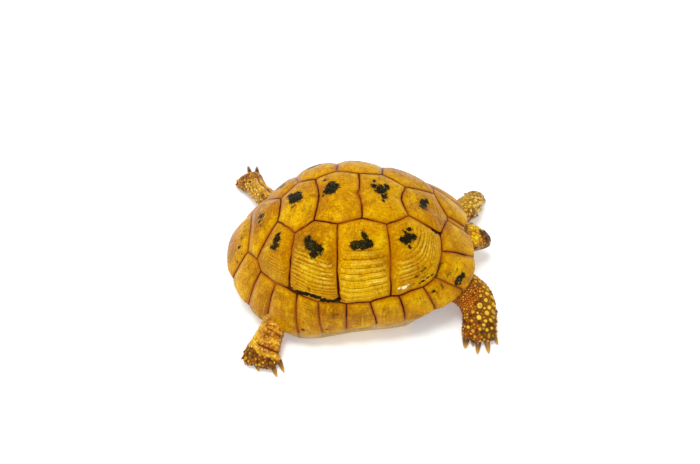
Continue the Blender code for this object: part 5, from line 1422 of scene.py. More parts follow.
def skin_map(points, part, s, a, b):
    """An unwrap of the skin: for each part, length along it by the angle round it; the trunk in plan."""
    uv = np.zeros((len(points), 2))
    for k, name in enumerate(PARTS):
        m = part == k
        if name == "trunk":
            u, v = (points[m, 0] + 80) / 160, (points[m, 1] + 100) / 200
        elif name == "head":
            u, v = np.arctan2(b[m], a[m]) / (2 * math.pi) + 0.5, s[m] / 1.1 + 0.02
        else:
            u, v = np.arctan2(b[m], a[m]) / (2 * math.pi) + 0.5, s[m] / (LIMBS[name].length + 8) + 0.04
        x, y = ATLAS[name]
        uv[m] = np.stack([x + (0.02 + 0.96 * np.clip(u, 0, 1)) / 3, y + (0.02 + 0.96 * np.clip(v, 0, 1)) / 3], 1)
    return uv


# Big scales of the right foreleg: place, size, how pale, how dark.
BIG_RIGHT = (
    (-53, -93.9, 21.1, 5.2, 1.0, 0), (-60.3, -92.6, 16.9, 4.6, 0.95, 0), (-57.6, -98.5, 18.2, 4.2, 0.7, 0.35), (-44.3, -100.2, 23.1, 4.0, 0.6, 0),
    (-53.8, -100.9, 19.3, 3.8, 0.8, 0), (-49.2, -98.7, 22.1, 3.8, 0.8, 0), (-35.3, -96.4, 25.5, 3.4, 0.45, 0), (-34.9, -100.8, 21.6, 3.0, 0.5, 0),
    (-39.5, -98.5, 24.4, 3.2, 0.5, 0), (-46.5, -95.0, 23.4, 3.2, 0.5, 0), (-56.5, -88.5, 18.6, 3.2, 0.5, 0), (-62.5, -97.0, 15.4, 3.2, 0.6, 0.1),
    (-65.1, -84.7, 12.3, 3.0, 0.7, 0.1), (-68.2, -87.7, 11.8, 3.0, 0.6, 0.1), (-67.5, -92.6, 13.2, 3.0, 0.7, 0.1), (-68.2, -97.5, 12.8, 3.0, 0.6, 0.1),
    (-66.8, -101.3, 12.9, 2.8, 0.5, 0.2), (-71.7, -88.9, 9.5, 2.8, 0.5, 0.2), (-73.3, -92.7, 6.5, 2.6, 0.4, 0.3), (-70.5, -83.2, 6.3, 2.6, 0.4, 0.3),
    (-73.3, -98.3, 6.3, 2.6, 0.4, 0.3), (-71.3, -101.7, 9.6, 2.6, 0.4, 0.3), (-65.2, -95.6, 14.7, 3.2, 0.7, 0.1), (-62.0, -87.0, 15.6, 2.8, 0.5, 0),
)
# Leaf-shaped scales along the front edges and at the heels: place, size, how pale, how dark, how far the point stands out.
SPURS = (
    (-45.5, -104.1, 20.2, 3.8, 0.6, 0.05, 1.2), (-55.6, -103.7, 17.3, 3.8, 0.6, 0.3, 1.3), (-62.6, -103.7, 13.9, 3.4, 0.5, 0.35, 1.2),
    (-61.9, -101.0, 15.5, 3.2, 0.6, 0.15, 0.9), (-50.5, -104.4, 18.6, 3.6, 0.6, 0.2, 1.3), (-59.0, -105.0, 12.6, 3.4, 0.4, 0.35, 1.2),
    (-39.5, -103.2, 20.8, 3.2, 0.5, 0.05, 0.9), (-66.0, -104.6, 10.2, 3.0, 0.4, 0.3, 1.0), (-52.0, -106.2, 13.6, 3.4, 0.5, 0.2, 1.1),
)
BIG_LEFT = (
    (49.9, -109.1, 23.1, 4.2, 0.9, 0), (40.9, -105.7, 24.9, 3.8, 0.8, 0), (35.6, -102.3, 25.6, 3.6, 0.8, 0), (34.2, -97.3, 28.2, 3.4, 0.6, 0.1), (38.5, -100.4, 27.6, 3.4, 0.7, 0),
    (44.4, -103.1, 26.5, 3.8, 0.8, 0), (43.3, -98.4, 27.9, 3.4, 0.6, 0.1), (39.6, -95.0, 29.1, 3.2, 0.5, 0.1), (46.0, -110.3, 21.8, 3.8, 0.9, 0), (56.0, -113.9, 19.4, 3.8, 0.9, 0),
    (53.6, -106.7, 23.3, 3.8, 0.7, 0), (49.6, -101.0, 25.7, 3.4, 0.6, 0), (32.4, -100.7, 24.7, 3.0, 0.5, 0.1), (40.1, -107.5, 22.7, 3.2, 0.6, 0.1), (37.2, -106.5, 21.2, 3.0, 0.4, 0.5),
    (60.0, -110.0, 19.0, 3.4, 0.7, 0.1), (64.0, -113.0, 15.5, 3.2, 0.6, 0.1), (67.0, -109.5, 13.5, 3.0, 0.6, 0.1), (61.5, -116.5, 14.5, 3.2, 0.6, 0.2), (70.0, -113.5, 11.0, 2.8, 0.5, 0.2),
)
SPURS_LEFT = (
    (48.0, -113.5, 11.3, 3.8, 1.0, 0.0, 2.2), (40.0, -108.4, 13.3, 3.6, 0.2, 0.8, 2.2), (54.5, -114.0, 14.5, 3.6, 0.7, 0.2, 1.6), (44.0, -111.5, 16.4, 3.6, 0.7, 0.1, 1.6),
    (35.0, -106.0, 15.5, 3.2, 0.3, 0.5, 1.4), (51.5, -113.8, 17.8, 3.6, 0.8, 0.1, 1.3), (58.8, -116.8, 11.5, 3.4, 0.6, 0.2, 1.4), (32.9, -103.1, 20.1, 3.0, 0.2, 0.6, 1.0),
)
SPURS_HIND = (
    (-79.5, 74.6, 7.5, 3.6, 0.3, 0.5, 1.9), (-82.5, 71.8, 8.2, 3.4, 0.3, 0.3, 1.3), (-76.5, 72.4, 8.5, 3.0, 0.3, 0.3, 1.0), (-85.5, 72.6, 4.2, 3.0, 0.3, 0.3, 1.1),
    (94.5, 96.5, 9.0, 3.2, 0.3, 0.3, 1.3), (98.0, 99.5, 5.5, 3.0, 0.3, 0.3, 1.2), (90.5, 95.5, 6.0, 2.8, 0.3, 0.3, 1.0),
)
# Shields of the head: share along it, degrees from the top of the head, size; each with its mirror image.
HEAD_SHIELDS = (
    (0.60, 0, 5.6), (0.765, 27, 4.4), (0.885, 0, 2.3), (0.885, 52, 2.2), (0.53, 40, 3.8), (0.455, 0, 3.8), (0.40, 30, 3.6), (0.37, 54, 2.8), (0.31, 11, 3.2),
    (0.26, 37, 3.4), (0.29, 66, 2.8), (0.20, 0, 3.0), (0.17, 22, 2.8), (0.13, 48, 3.0), (0.16, 70, 2.6), (0.08, 10, 2.6), (0.06, 33, 2.6), (0.23, 92, 3.4),
    (0.36, 92, 2.6), (0.34, 108, 2.4), (0.11, 92, 2.6), (0.43, 104, 2.2), (0.10, 112, 2.4), (0.21, 114, 2.4), (0.69, 62, 2.6), (0.63, 74, 2.0), (0.78, 72, 2.4),
)


def on_head(s, degrees):
    """A point outside the head at this share and angle from the top."""
    a = math.radians(90 - degrees)
    w, above, below = (float(np.interp(s, [h[0] for h in HEAD_FORM], [h[k] for h in HEAD_FORM])) for k in (1, 2, 3))
    c, d = math.cos(a), math.sin(a)
    x = math.copysign(abs(c) ** (2 / 2.35), c) * w
    y = math.copysign(abs(d) ** (2 / 2.35), d) * (above if d > 0 else below)
    return head_point(s, x, y)


def scale_seeds(points, tris, normal, part, s, a, b):
    """Places of all scales: points, normals, sizes and kinds."""
    tree = bvhtree.BVHTree.FromPolygons(points.tolist(), tris.tolist())
    size = np.full(len(points), 1.35)
    name = lambda n: part == PARTS.index(n)
    hs, hx, hy = head_coords(points)
    noise_ = 1 + 0.16 * value_noise(points * 0.4, 140)
    size[name("trunk")] = 1.7
    size[name("neck")] = 1.25
    size[name("tail")] = 1.5
    for n in ("foreleg_right", "foreleg_left"):
        m = name(n)
        front = smooth_step(a if n.endswith("left") is False else -a, 0.25, -0.35)
        # right legs carry their rear on the side axis, left legs their front
        face = smooth_step((-a if n == "foreleg_right" else a), -0.15, 0.55) * smooth_step(s, 24, 36)
        size[m] = (1.40 + 1.70 * face + 0.45 * smooth_step(s, 50, 62))[m]
    for n, first in (("hindleg_right", 42), ("hindleg_left", 70)):
        m = name(n)
        size[m] = (1.45 + 0.55 * smooth_step(s, first, first + 14))[m]
        if n.endswith("left"):
            size[m] = (size + 1.0 * smooth_step(a, -0.15, -0.45) * smooth_step(s, 34, 40) * smooth_step(s, 78, 72))[m]
    size *= noise_
    m = name("head")
    size[m] = (1.9 - 0.5 * smooth_step(hy, -2, -6) - 0.25 * smooth_step(hs, 0.55, 0.8))[m]
    size[m & (hs < 0.05)] = 1.5
    for sign in (-1, 1):
        c = eye_frame(sign)[0]
        d = np.linalg.norm(points - c, axis=1)
        size = np.where(m & (d < 4.8), 1.05, size)
    inset, t, _ = rim_inset(points)
    skip = (inset > 25) | ((inset > 9) & (np.degrees(t) > 63) & (np.degrees(t) < 108))
    skip |= (points[:, 2] < 0.9) | (bare_skin(part, s, a, b) > 0.5)
    skip |= name("head") & (hs > 0.60) & (hy < 0.6 - 0.4 * smooth_step(hs, 0.6, 0.9)) & (hy > mouth_height(hs) - 2.0)
    skip |= name("head") & (hs > 0.90) & (hy < 1.2)
    for sign in (-1, 1):
        c, out, _, _ = eye_frame(sign)
        skip |= (np.linalg.norm(points - c, axis=1) < 3.5) & name("head")
    chosen = {"p": [], "n": [], "d": [], "kind": [], "pale": [], "dark": [], "reach": []}

    def explicit(place, d, kind, pale, dark, reach=0.0):
        loc, nrm, _, _ = tree.find_nearest(Vector(place))
        chosen["p"].append(np.array(loc)); chosen["n"].append(np.array(nrm)); chosen["d"].append(d); chosen["kind"].append(kind)
        chosen["pale"].append(pale); chosen["dark"].append(dark); chosen["reach"].append(reach)

    for x, y, z, d, p, k, reach in SPURS + SPURS_LEFT + SPURS_HIND:
        explicit((x, y, z), d, 3, p, k, reach)
    for x, y, z, d, p, k in BIG_RIGHT + BIG_LEFT:
        explicit((x, y, z), d, 2, p, k)
    for share, degrees, d in HEAD_SHIELDS:
        for sign in ((1,) if degrees == 0 else (1, -1)):
            explicit(on_head(share, degrees * sign), d, 1, -1, -1)
    fixed = len(chosen["p"])
    # random candidates, dense enough that the greedy choice packs them
    area = np.linalg.norm(np.cross(points[tris[:, 1]] - points[tris[:, 0]], points[tris[:, 2]] - points[tris[:, 0]]), axis=1) / 2
    usable = ~(skip[tris].any(1))
    share = np.where(usable, area / np.maximum(size[tris].mean(1), 0.5) ** 2, 0)
    gen = np.random.default_rng(31)
    total = int(share.sum() * 17)
    pick = gen.choice(len(tris), total, p=share / share.sum())
    u = gen.uniform(0, 1, (total, 2))
    flip = u.sum(1) > 1
    u[flip] = 1 - u[flip]
    w = np.stack([1 - u.sum(1), u[:, 0], u[:, 1]], 1)
    corner = tris[pick]
    cand = (points[corner] * w[..., None]).sum(1)
    cand_n = unit((normal[corner] * w[..., None]).sum(1))
    cand_d = (size[corner] * w).sum(1) * gen.uniform(0.86, 1.14, total)
    order = np.lexsort((gen.uniform(0, 1, total), -np.round(cand_d * 2)))
    cand, cand_n, cand_d = cand[order], cand_n[order], cand_d[order]
    kd = kdtree.KDTree(total)
    for i, p in enumerate(cand.tolist()):
        kd.insert(p, i)
    kd.balance()
    alive = np.ones(total, bool)
    kept = []
    dl = cand_d.tolist()

    def clear_round(p, d, factor):
        for _, j, dist in kd.find_range(p, 0.5 * (d + 2.9) * factor):
            if alive[j] and dist < 0.5 * (d + dl[j]) * factor:
                alive[j] = False

    for p, d in zip(chosen["p"], chosen["d"]):
        clear_round(Vector(p), d, 0.93)
    cand_list = cand.tolist()
    for i in range(total):
        if alive[i]:
            kept.append(i)
            p, d = cand_list[i], dl[i]
            for _, j, dist in kd.find_range(p, d * 0.95):
                if dist < 0.475 * (d + dl[j]):
                    alive[j] = False
    p = np.vstack([np.array(chosen["p"]), cand[kept]])
    n = np.vstack([np.array(chosen["n"]), cand_n[kept]])
    d = np.r_[chosen["d"], cand_d[kept]]
    zero = np.zeros(len(kept))
    return {"p": p, "n": n, "d": d, "kind": np.r_[chosen["kind"], zero], "pale": np.r_[chosen["pale"], zero - 1], "dark": np.r_[chosen["dark"], zero - 1],
            "reach": np.r_[chosen["reach"], zero]}, tree


def lie_at(p, n, part):
    """The way scales lie: down each limb towards its foot, back over the head and neck, back along the tail."""
    lie = np.tile([0, 0, -1.0], (len(p), 1))
    for k, name in enumerate(PARTS):
        m = part == k
        if name in LIMBS and m.any():
            limb = LIMBS[name]
            j = ((p[m][:, None] - limb.centre[None]) ** 2).sum(-1).argmin(1)
            lie[m] = limb.along[j] * (-1 if name == "neck" else 1)
        elif name == "head":
            lie[m] = -HEAD_T
    lie = lie - n * (lie * n).sum(1)[:, None]
    small = np.linalg.norm(lie, axis=1) < 0.05
    lie[small] = np.cross(n[small], [1.0, 0.3, 0.2])
    return unit(lie)


def scale_mesh(seeds, tree, chosen, around, profile, marks_of, project):
    """Scales as one mesh: outlines from the neighbours, a domed top and a skirt under the skin."""
    p, n, d = seeds["p"][chosen], seeds["n"][chosen], seeds["d"][chosen]
    lie, near, near_d = seeds["lie"][chosen], seeds["near"][chosen], seeds["near_d"][chosen]
    side = np.cross(n, lie)
    phi = np.linspace(0, 2 * math.pi, around, endpoint=False)
    c, sn = np.cos(phi), np.sin(phi)
    delta = near - p[:, None]
    mx, my = (delta * lie[:, None]).sum(-1), (delta * side[:, None]).sum(-1)
    f = d[:, None] / (d[:, None] + near_d)
    length2 = mx ** 2 + my ** 2 + 1e-6
    inverse = np.maximum((mx[..., None] * c + my[..., None] * sn) / (length2 * f)[..., None], 0)      # N x K x A
    power = 9.0
    cap = np.where(seeds["kind"][chosen] == 2, 0.56, np.where(seeds["kind"][chosen] == 1, 0.78, 0.64)) * d
    rho = ((inverse ** power).sum(1) + (1 / cap[:, None]) ** power) ** (-1 / power)
    rho = np.maximum(rho - seeds["gap"][chosen][:, None], 0.22 * d[:, None])
    reach = seeds["reach"][chosen][:, None]
    rho = rho * (1 + 0.55 * reach * np.maximum(c, 0) ** 3)
    lift = seeds["lift"][chosen][:, None]
    tilt = seeds["tilt"][chosen][:, None]
    levels = [(0.0, 1.0)] + list(profile)
    rows, edges = [], []
    for fr, h in levels:
        r = rho * fr
        base = p[:, None] + lie[:, None] * (r * c)[..., None] + side[:, None] * (r * sn)[..., None]
        height = lift * h + tilt * fr * c * (h > -0.2)
        height = height + reach * np.maximum(c, 0) ** 2 * fr ** 2 * 0.9 * (h > -0.2)
        if fr == 0:
            base, height = base[:, :1], height[:, :1]
        rows.append((base, height))
        edges.append(np.broadcast_to(fr, height.shape))
    flat_base = np.concatenate([r[0].reshape(-1, 3) for r in rows])
    flat_n = np.concatenate([np.repeat(n, r[0].shape[1], axis=0) for r in rows])
    if project:
        found = [tree.find_nearest(q) for q in flat_base.tolist()]
        loc = np.array([q[0] for q in found])
        nrm = np.array([q[1] for q in found])
        # overhanging points keep their place beyond the skin
        gap = np.linalg.norm(loc - flat_base, axis=1)
        keep = smooth_step(gap, 1.2, 2.4)[:, None]
        flat_base = loc * (1 - keep) + (loc + (flat_base - loc) * 0.8) * keep
        flat_n = unit(flat_n * 0.6 + nrm * 0.4)
    height = np.concatenate([r[1].ravel() for r in rows])
    flat = flat_base + flat_n * height[:, None]
    flat[:, 2] = np.maximum(flat[:, 2], 0.04)
    count = len(p)
    sizes = [r[0].shape[1] for r in rows]
    starts = np.cumsum([0] + [count * k for k in sizes])
    faces_q, faces_t = [], []
    k = np.arange(around)
    i = np.arange(count)[:, None]
    tri = np.stack([np.broadcast_to(i, (count, around)), starts[1] + i * around + k, starts[1] + i * around + (k + 1) % around], -1).reshape(-1, 3)
    for r in range(1, len(levels) - 1):
        a0, b0 = starts[r] + i * around, starts[r + 1] + i * around
        faces_q.append(np.stack([a0 + k, b0 + k, b0 + (k + 1) % around, a0 + (k + 1) % around], -1).reshape(-1, 4))
    owner = np.concatenate([np.repeat(np.arange(count), m) for m in sizes])
    edge = np.clip(np.concatenate([e.ravel() for e in edges]), 0, 1)
    uv0 = seeds["uv"][chosen][owner]
    ang = np.concatenate([np.tile(phi[:m] if m > 1 else [0.0], count) for m in sizes])
    uv = uv0 + 0.0015 * edge[:, None] * np.stack([np.cos(ang), np.sin(ang)], 1)
    attributes = {"edge": edge}
    for key in ("pale", "dark", "warm", "tone"):
        attributes[key] = seeds["m_" + key][chosen][owner]
    return {"points": flat, "faces": [np.concatenate(faces_q), tri], "attributes": attributes, "uv": uv}


def build_skin():
    points, tris = skin_base()
    points, fold_shade = skin_shape(points, tris)
    normal = vertex_normals(points, tris)
    part, s, a, b = region(points)
    pale, dark, warm = marks(points, part, s, a, b)
    tone = 0.5 + 0.5 * fractal(points * 0.2, 130, 2)
    uv = skin_map(points, part, s, a, b)
    nodes = ["trunk", "neck", "head", "tail", "foreleg_right", "foreleg_left", "hindleg_right", "hindleg_left",
             "forefoot_right", "forefoot_left", "hindfoot_right", "hindfoot_left"]
    skin = build("skin", points, [tris], skin_material(), {"pale": pale, "dark": dark, "warm": warm, "tone": tone, "fold_shade": fold_shade,
                                                            "bare": bare_skin(part, s, a, b)}, uv)
    place(skin, nodes, "skin")
    seeds, tree = scale_seeds(points, tris, normal, part, s, a, b)
    p, n, d = seeds["p"], seeds["n"], seeds["d"]
    sp, ss, sa, sb = region(p)
    seeds["part"] = sp
    m_pale, m_dark, m_warm = marks(p, sp, ss, sa, sb)
    gen = np.random.default_rng(33)
    seeds["m_tone"] = gen.uniform(0, 1, len(p))
    limbs = (sp != 0) & (sp != PARTS.index("head"))
    odd = gen.uniform(0, 1, len(p)) ** 2.2
    seeds["m_pale"] = np.where(seeds["pale"] >= 0, seeds["pale"], np.clip(m_pale + np.where(limbs, 0.75 * gen.uniform(0, 1, len(p)) ** 3, 0), 0, 1))
    seeds["m_dark"] = np.where(seeds["dark"] >= 0, seeds["dark"] + 0.25 * odd, np.clip(m_dark + gen.uniform(-0.10, 0.12, len(p)) + np.where(limbs, 0.50, 0.10) * odd, 0, 1))
    seeds["m_warm"] = np.clip(m_warm + gen.uniform(-0.25, 0.25, len(p)) * np.where(sp == PARTS.index("head"), 0.5, 1.0), 0, 1)
    seeds["uv"] = skin_map(p, sp, ss, sa, sb)
    seeds["lie"] = lie_at(p, n, sp)
    kind = seeds["kind"]
    spur = kind == 3
    # front-edge spurs point outwards and down the limb
    seeds["lift"] = np.where(kind == 1, 0.42, np.where(kind == 2, 0.85, np.where(spur, 0.6, np.minimum(0.30 * d, 0.62))))
    seeds["lift"] = np.where((kind == 0) & ((sp == 0) | (sp == PARTS.index("neck"))), 0.16 * d, seeds["lift"])
    seeds["lift"] = np.where((kind == 0) & (sp == PARTS.index("head")), 0.22, seeds["lift"])
    seeds["tilt"] = np.where(kind == 3, 0.35, np.where(kind == 1, 0.0, 0.05 * d))
    seeds["gap"] = np.where(kind == 1, 0.10, np.where(kind == 0, 0.07 + 0.02 * d, 0.14))
    kd = kdtree.KDTree(len(p))
    for i, q in enumerate(p.tolist()):
        kd.insert(q, i)
    kd.balance()
    k = 12
    index = np.array([[j for _, j, _ in kd.find_n(q, k + 1)] for q in p.tolist()])
    index = np.where(index == np.arange(len(p))[:, None], index[:, -1:], index)[:, :k]
    seeds["near"], seeds["near_d"] = p[index], d[index]
    mat, head_mat = scale_material(), scale_material(True)
    small = (d < 1.75) & (kind == 0)
    groups = []
    for name in PARTS:
        member = sp == PARTS.index(name)
        groups.append((name + "_granules", np.where(member & small)[0], 8, ((0.50, 0.88), (0.84, 0.50), (1.0, -0.02), (1.02, -0.9)), name))
        groups.append((name + "_scales", np.where(member & ~small)[0], 14, ((0.30, 0.97), (0.60, 0.84), (0.82, 0.58), (0.95, 0.26), (1.0, -0.02), (1.02, -0.9)), name))
    for name, chosen, around, profile, owner in groups:
        if not len(chosen):
            continue
        per = around * (2 * (len(profile) - 1) + 1)
        pieces = math.ceil(len(chosen) * per / 190000)
        for q, some in enumerate(np.array_split(chosen, pieces)):
            part_ = scale_mesh(seeds, tree, some, around, profile, None, True)
            obj = build(name + (f"_{q + 1}" if pieces > 1 else ""), part_["points"], part_["faces"], head_mat if owner == "head" else mat, part_["attributes"], part_["uv"])
            target = {"trunk": ["trunk"], "neck": ["neck"], "head": ["head"], "tail": ["tail"]}.get(owner, [owner, owner.replace("leg", "foot")])
            place(obj, target, "head_skin" if owner in ("head", "neck") else "leg_scale")
    print("scales", len(p), "skin tris", len(tris), {g[0]: len(g[1]) for g in groups})
    return points, tris, tree


# =============================================================================
# claws, eyes, lids and beak
# =============================================================================
def claw_material():
    t = Tree("claw_horn", 0.30, 0.35, coat=0.15, coat_roughness=0.15)
    along, tone = t.attr("along"), t.attr("tone")
    base = t.ramp(t.math("MULTIPLY_ADD", t.math("SUBTRACT", t.noise(400, 4, 0.6), 0.5), 0.35, along),
                  [(0.0, srgb(92, 46, 6)), (0.35, srgb(146, 88, 12)), (0.75, srgb(194, 138, 30)), (1.0, srgb(214, 168, 70))])
    base = t.mix(t.math("MULTIPLY", tone, t.step(along, 1.0, 0.3)), base, srgb(48, 26, 10))
    grain = t.noise(1.0, 3, 0.6, vector=t.combine(t.math("MULTIPLY", along, 3.0), t.math("MULTIPLY", t.attr("round"), 26.0), tone))
    base = t.mix(t.math("MULTIPLY", t.step(grain, 0.50, 0.70), 0.35), base, srgb(70, 36, 12))
    return t.finish(base, t.ramp(grain, [(0.3, (0.24,) * 3), (0.7, (0.40,) * 3)]), t.bump(grain, 0.00012, 0.7))


def build_claws():
    mat = claw_material()
    tones = {"forefoot_right": (0.80, 0.85, 0.70, 0.15, 0.10), "forefoot_left": (0.6, 0.5, 0.4, 0.4, 0.5), "hindfoot_right": (0.9, 0.9, 0.75, 0.7), "hindfoot_left": (0.9, 0.8, 0.8, 0.9)}
    for foot, claws in CLAWS.items():
        parts = []
        for k, (root, tip, radius) in enumerate(claws):
            root, tip = np.array(root, float), np.array(tip, float)
            t = unit(tip - root)
            side = unit(np.cross(t, (0, 0, 1.0)))
            up = np.cross(side, t)
            rings, along, around = [], [], []
            fs = 1 - (1 - np.linspace(0, 1, 22)) ** 1.5
            for f in fs:
                w = float(np.interp(f, (0, 0.4, 0.75, 0.94, 1.0), (1.0, 0.92, 0.62, 0.30, 0.10)))
                c = root + (tip - root) * f + up * 1.2 * 4 * f * (1 - f) * 0.6
                a = np.linspace(0, 2 * math.pi, 20, endpoint=False)
                flute = 1 + 0.035 * np.cos(a * 5 + k) * (1 - f)
                ring = c + side * (np.cos(a) * radius * 0.97 * w * flute)[:, None] + up * (np.sin(a) * radius * 0.8 * 0.97 * w * flute)[:, None]
                ring[:, 2] = np.maximum(ring[:, 2], 0.06)
                rings.append(ring)
                along.append(np.full(20, f))
                around.append(a / (2 * math.pi))
            body = closed_rings(rings)
            al = np.r_[np.concatenate(along), 0, 1]
            ar = np.r_[np.concatenate(around), 0, 0]
            body["attributes"] = {"along": al, "round": ar, "tone": np.full(len(al), tones[foot][k])}
            body["uv"] = np.stack([(k + 0.05 + 0.9 * ar) / len(claws), 0.05 + 0.9 * al], 1)
            parts.append(body)
        points, faces, attributes, uv = joined(parts)
        name = foot.replace("foot", "")
        place(build("claws_" + name, points, faces, mat, attributes, uv), [f"claw_{name}_{k + 1}" for k in range(len(claws))], "claw_horn")


def build_eyes():
    t = Tree("eye", 0.05, 0.6, coat=0.6, coat_roughness=0.03)
    ring = t.attr("ring")
    base = t.ramp(t.math("MULTIPLY_ADD", t.math("SUBTRACT", t.noise(1500, 3, 0.6), 0.5), 0.10, ring),
                  [(0.0, srgb(6, 5, 4)), (0.36, srgb(8, 6, 4)), (0.42, srgb(64, 34, 12)), (0.66, srgb(44, 24, 10)), (0.74, srgb(18, 12, 8)), (1.0, srgb(30, 22, 16))])
    mat = t.finish(base, 0.06)
    parts = []
    for sign in (1, -1):
        centre, out, ahead, above = eye_frame(sign)
        rings, value = [], []
        for k in range(1, 30):
            lat = math.pi * k / 30
            a = np.linspace(0, 2 * math.pi, 40, endpoint=False)
            bulge = EYE_RADIUS * (0.985 + 0.05 * math.exp(-((lat / 0.55) ** 2)) * 0)
            rings.append(centre + out * bulge * math.cos(lat) + (np.cos(a)[:, None] * ahead + np.sin(a)[:, None] * above) * bulge * math.sin(lat))
            value.append(np.full(40, lat / (math.pi / 3)))
        body = closed_rings(rings)
        v = np.r_[np.concatenate(value), 0, 3]
        body["attributes"] = {"ring": np.clip(v, 0, 1)}
        body["uv"] = np.stack([np.r_[np.tile(np.linspace(0, 1, 40, endpoint=False), 29), 0.5, 0.5] * 0.48 + (0.0 if sign > 0 else 0.5), np.clip(np.r_[np.repeat(np.linspace(0, 1, 29), 40), 0, 1], 0, 1)], 1)
        parts.append(body)
    points, faces, attributes, uv = joined(parts)
    place(build("eyeballs", points, faces, mat, attributes, uv), ["eye_right", "eye_left"], "eye")


def build_lids(mat):
    parts = []
    for sign in (1, -1):
        centre, out, ahead, above = eye_frame(sign)
        a = np.linspace(0, 2 * math.pi, 88, endpoint=False)
        wide = np.radians(50) * np.ones(88)
        open_at = np.arctan(1 / np.sqrt((np.cos(a) / math.tan(math.radians(47))) ** 2 + (np.sin(a) / math.tan(math.radians(35))) ** 2))
        rings, edges = [], []
        for u, lift in ((-0.02, 2.45), (0.0, 2.72), (0.03, 2.95), (0.09, 3.08), (0.18, 3.12), (0.27, 3.04), (0.36, 3.13), (0.47, 3.05), (0.58, 3.14), (0.70, 3.06), (0.82, 3.08), (1.0, 2.7)):
            ang = open_at + (math.radians(84) - open_at) * u
            r = lift * (1 + 0.010 * np.cos(a * 14 + u * 9)) + 0.25 * np.exp(-(((a - math.pi / 2) / 0.9) ** 2)) * smooth_step(np.array(u), 0.05, 0.35)
            rings.append(centre + out * (np.cos(ang) * r)[:, None] + (np.cos(a)[:, None] * ahead + np.sin(a)[:, None] * above) * (np.sin(ang) * r)[:, None])
            edges.append(np.full(88, abs((u * 4) % 1 - 0.5) * 1.6))
        inner = [centre + (q - centre) * 0.80 for q in rings[::-1]]
        all_rings = rings + inner
        rows = len(all_rings)
        points = np.vstack(all_rings)
        f = grid_faces(rows + 1, 88) % (rows * 88)
        part = {"points": points, "faces": [f], "attributes": {}, "uv": None}
        nn = np.cross(points[f[:, 1]] - points[f[:, 0]], points[f[:, 2]] - points[f[:, 0]])
        mid = points[f].mean(1) - centre
        outer = slice(88 * 2, 88 * 8)
        if (nn[outer] * mid[outer]).sum() < 0:
            part["faces"] = [f[:, ::-1]]
        count = len(points)
        reg = region(points)
        pale, dark, warm = marks(points, *reg)
        part["attributes"] = {"edge": np.r_[np.concatenate(edges), np.zeros(count - 88 * len(rings))], "pale": pale * 0.5, "dark": np.clip(dark * 0.5 + 0.40, 0, 1), "warm": warm, "tone": np.full(count, 0.4)}
        part["uv"] = np.stack([0.3 + 0.4 * (sign > 0) + 0.1 * np.tile(np.cos(a), rows) * np.repeat(np.linspace(0.3, 1, rows), 88),
                               0.5 + 0.1 * np.tile(np.sin(a), rows) * np.repeat(np.linspace(0.3, 1, rows), 88)], 1)
        parts.append(part)
    points, faces, attributes, uv = joined(parts)
    place(build("eyelids", points, faces, mat, attributes, uv), ["head"], "head_skin")


def beak_material():
    t = Tree("beak_horn", 0.34, 0.32, coat=0.15, coat_roughness=0.18)
    along = t.attr("along")
    base = t.ramp(t.math("MULTIPLY_ADD", t.math("SUBTRACT", t.noise(500, 4, 0.6), 0.5), 0.8, along),
                  [(0.0, srgb(150, 112, 52)), (0.45, srgb(112, 74, 30)), (1.0, srgb(54, 32, 14))])
    grain = t.noise(1.0, 3, 0.6, vector=t.combine(t.math("MULTIPLY", t.attr("round"), 70.0), t.math("MULTIPLY", along, 2.0), 0.3))
    base = t.mix(t.math("MULTIPLY", t.step(grain, 0.52, 0.72), 0.45), base, srgb(48, 28, 10))
    return t.finish(base, 0.36, t.bump(grain, 0.00012, 0.8))


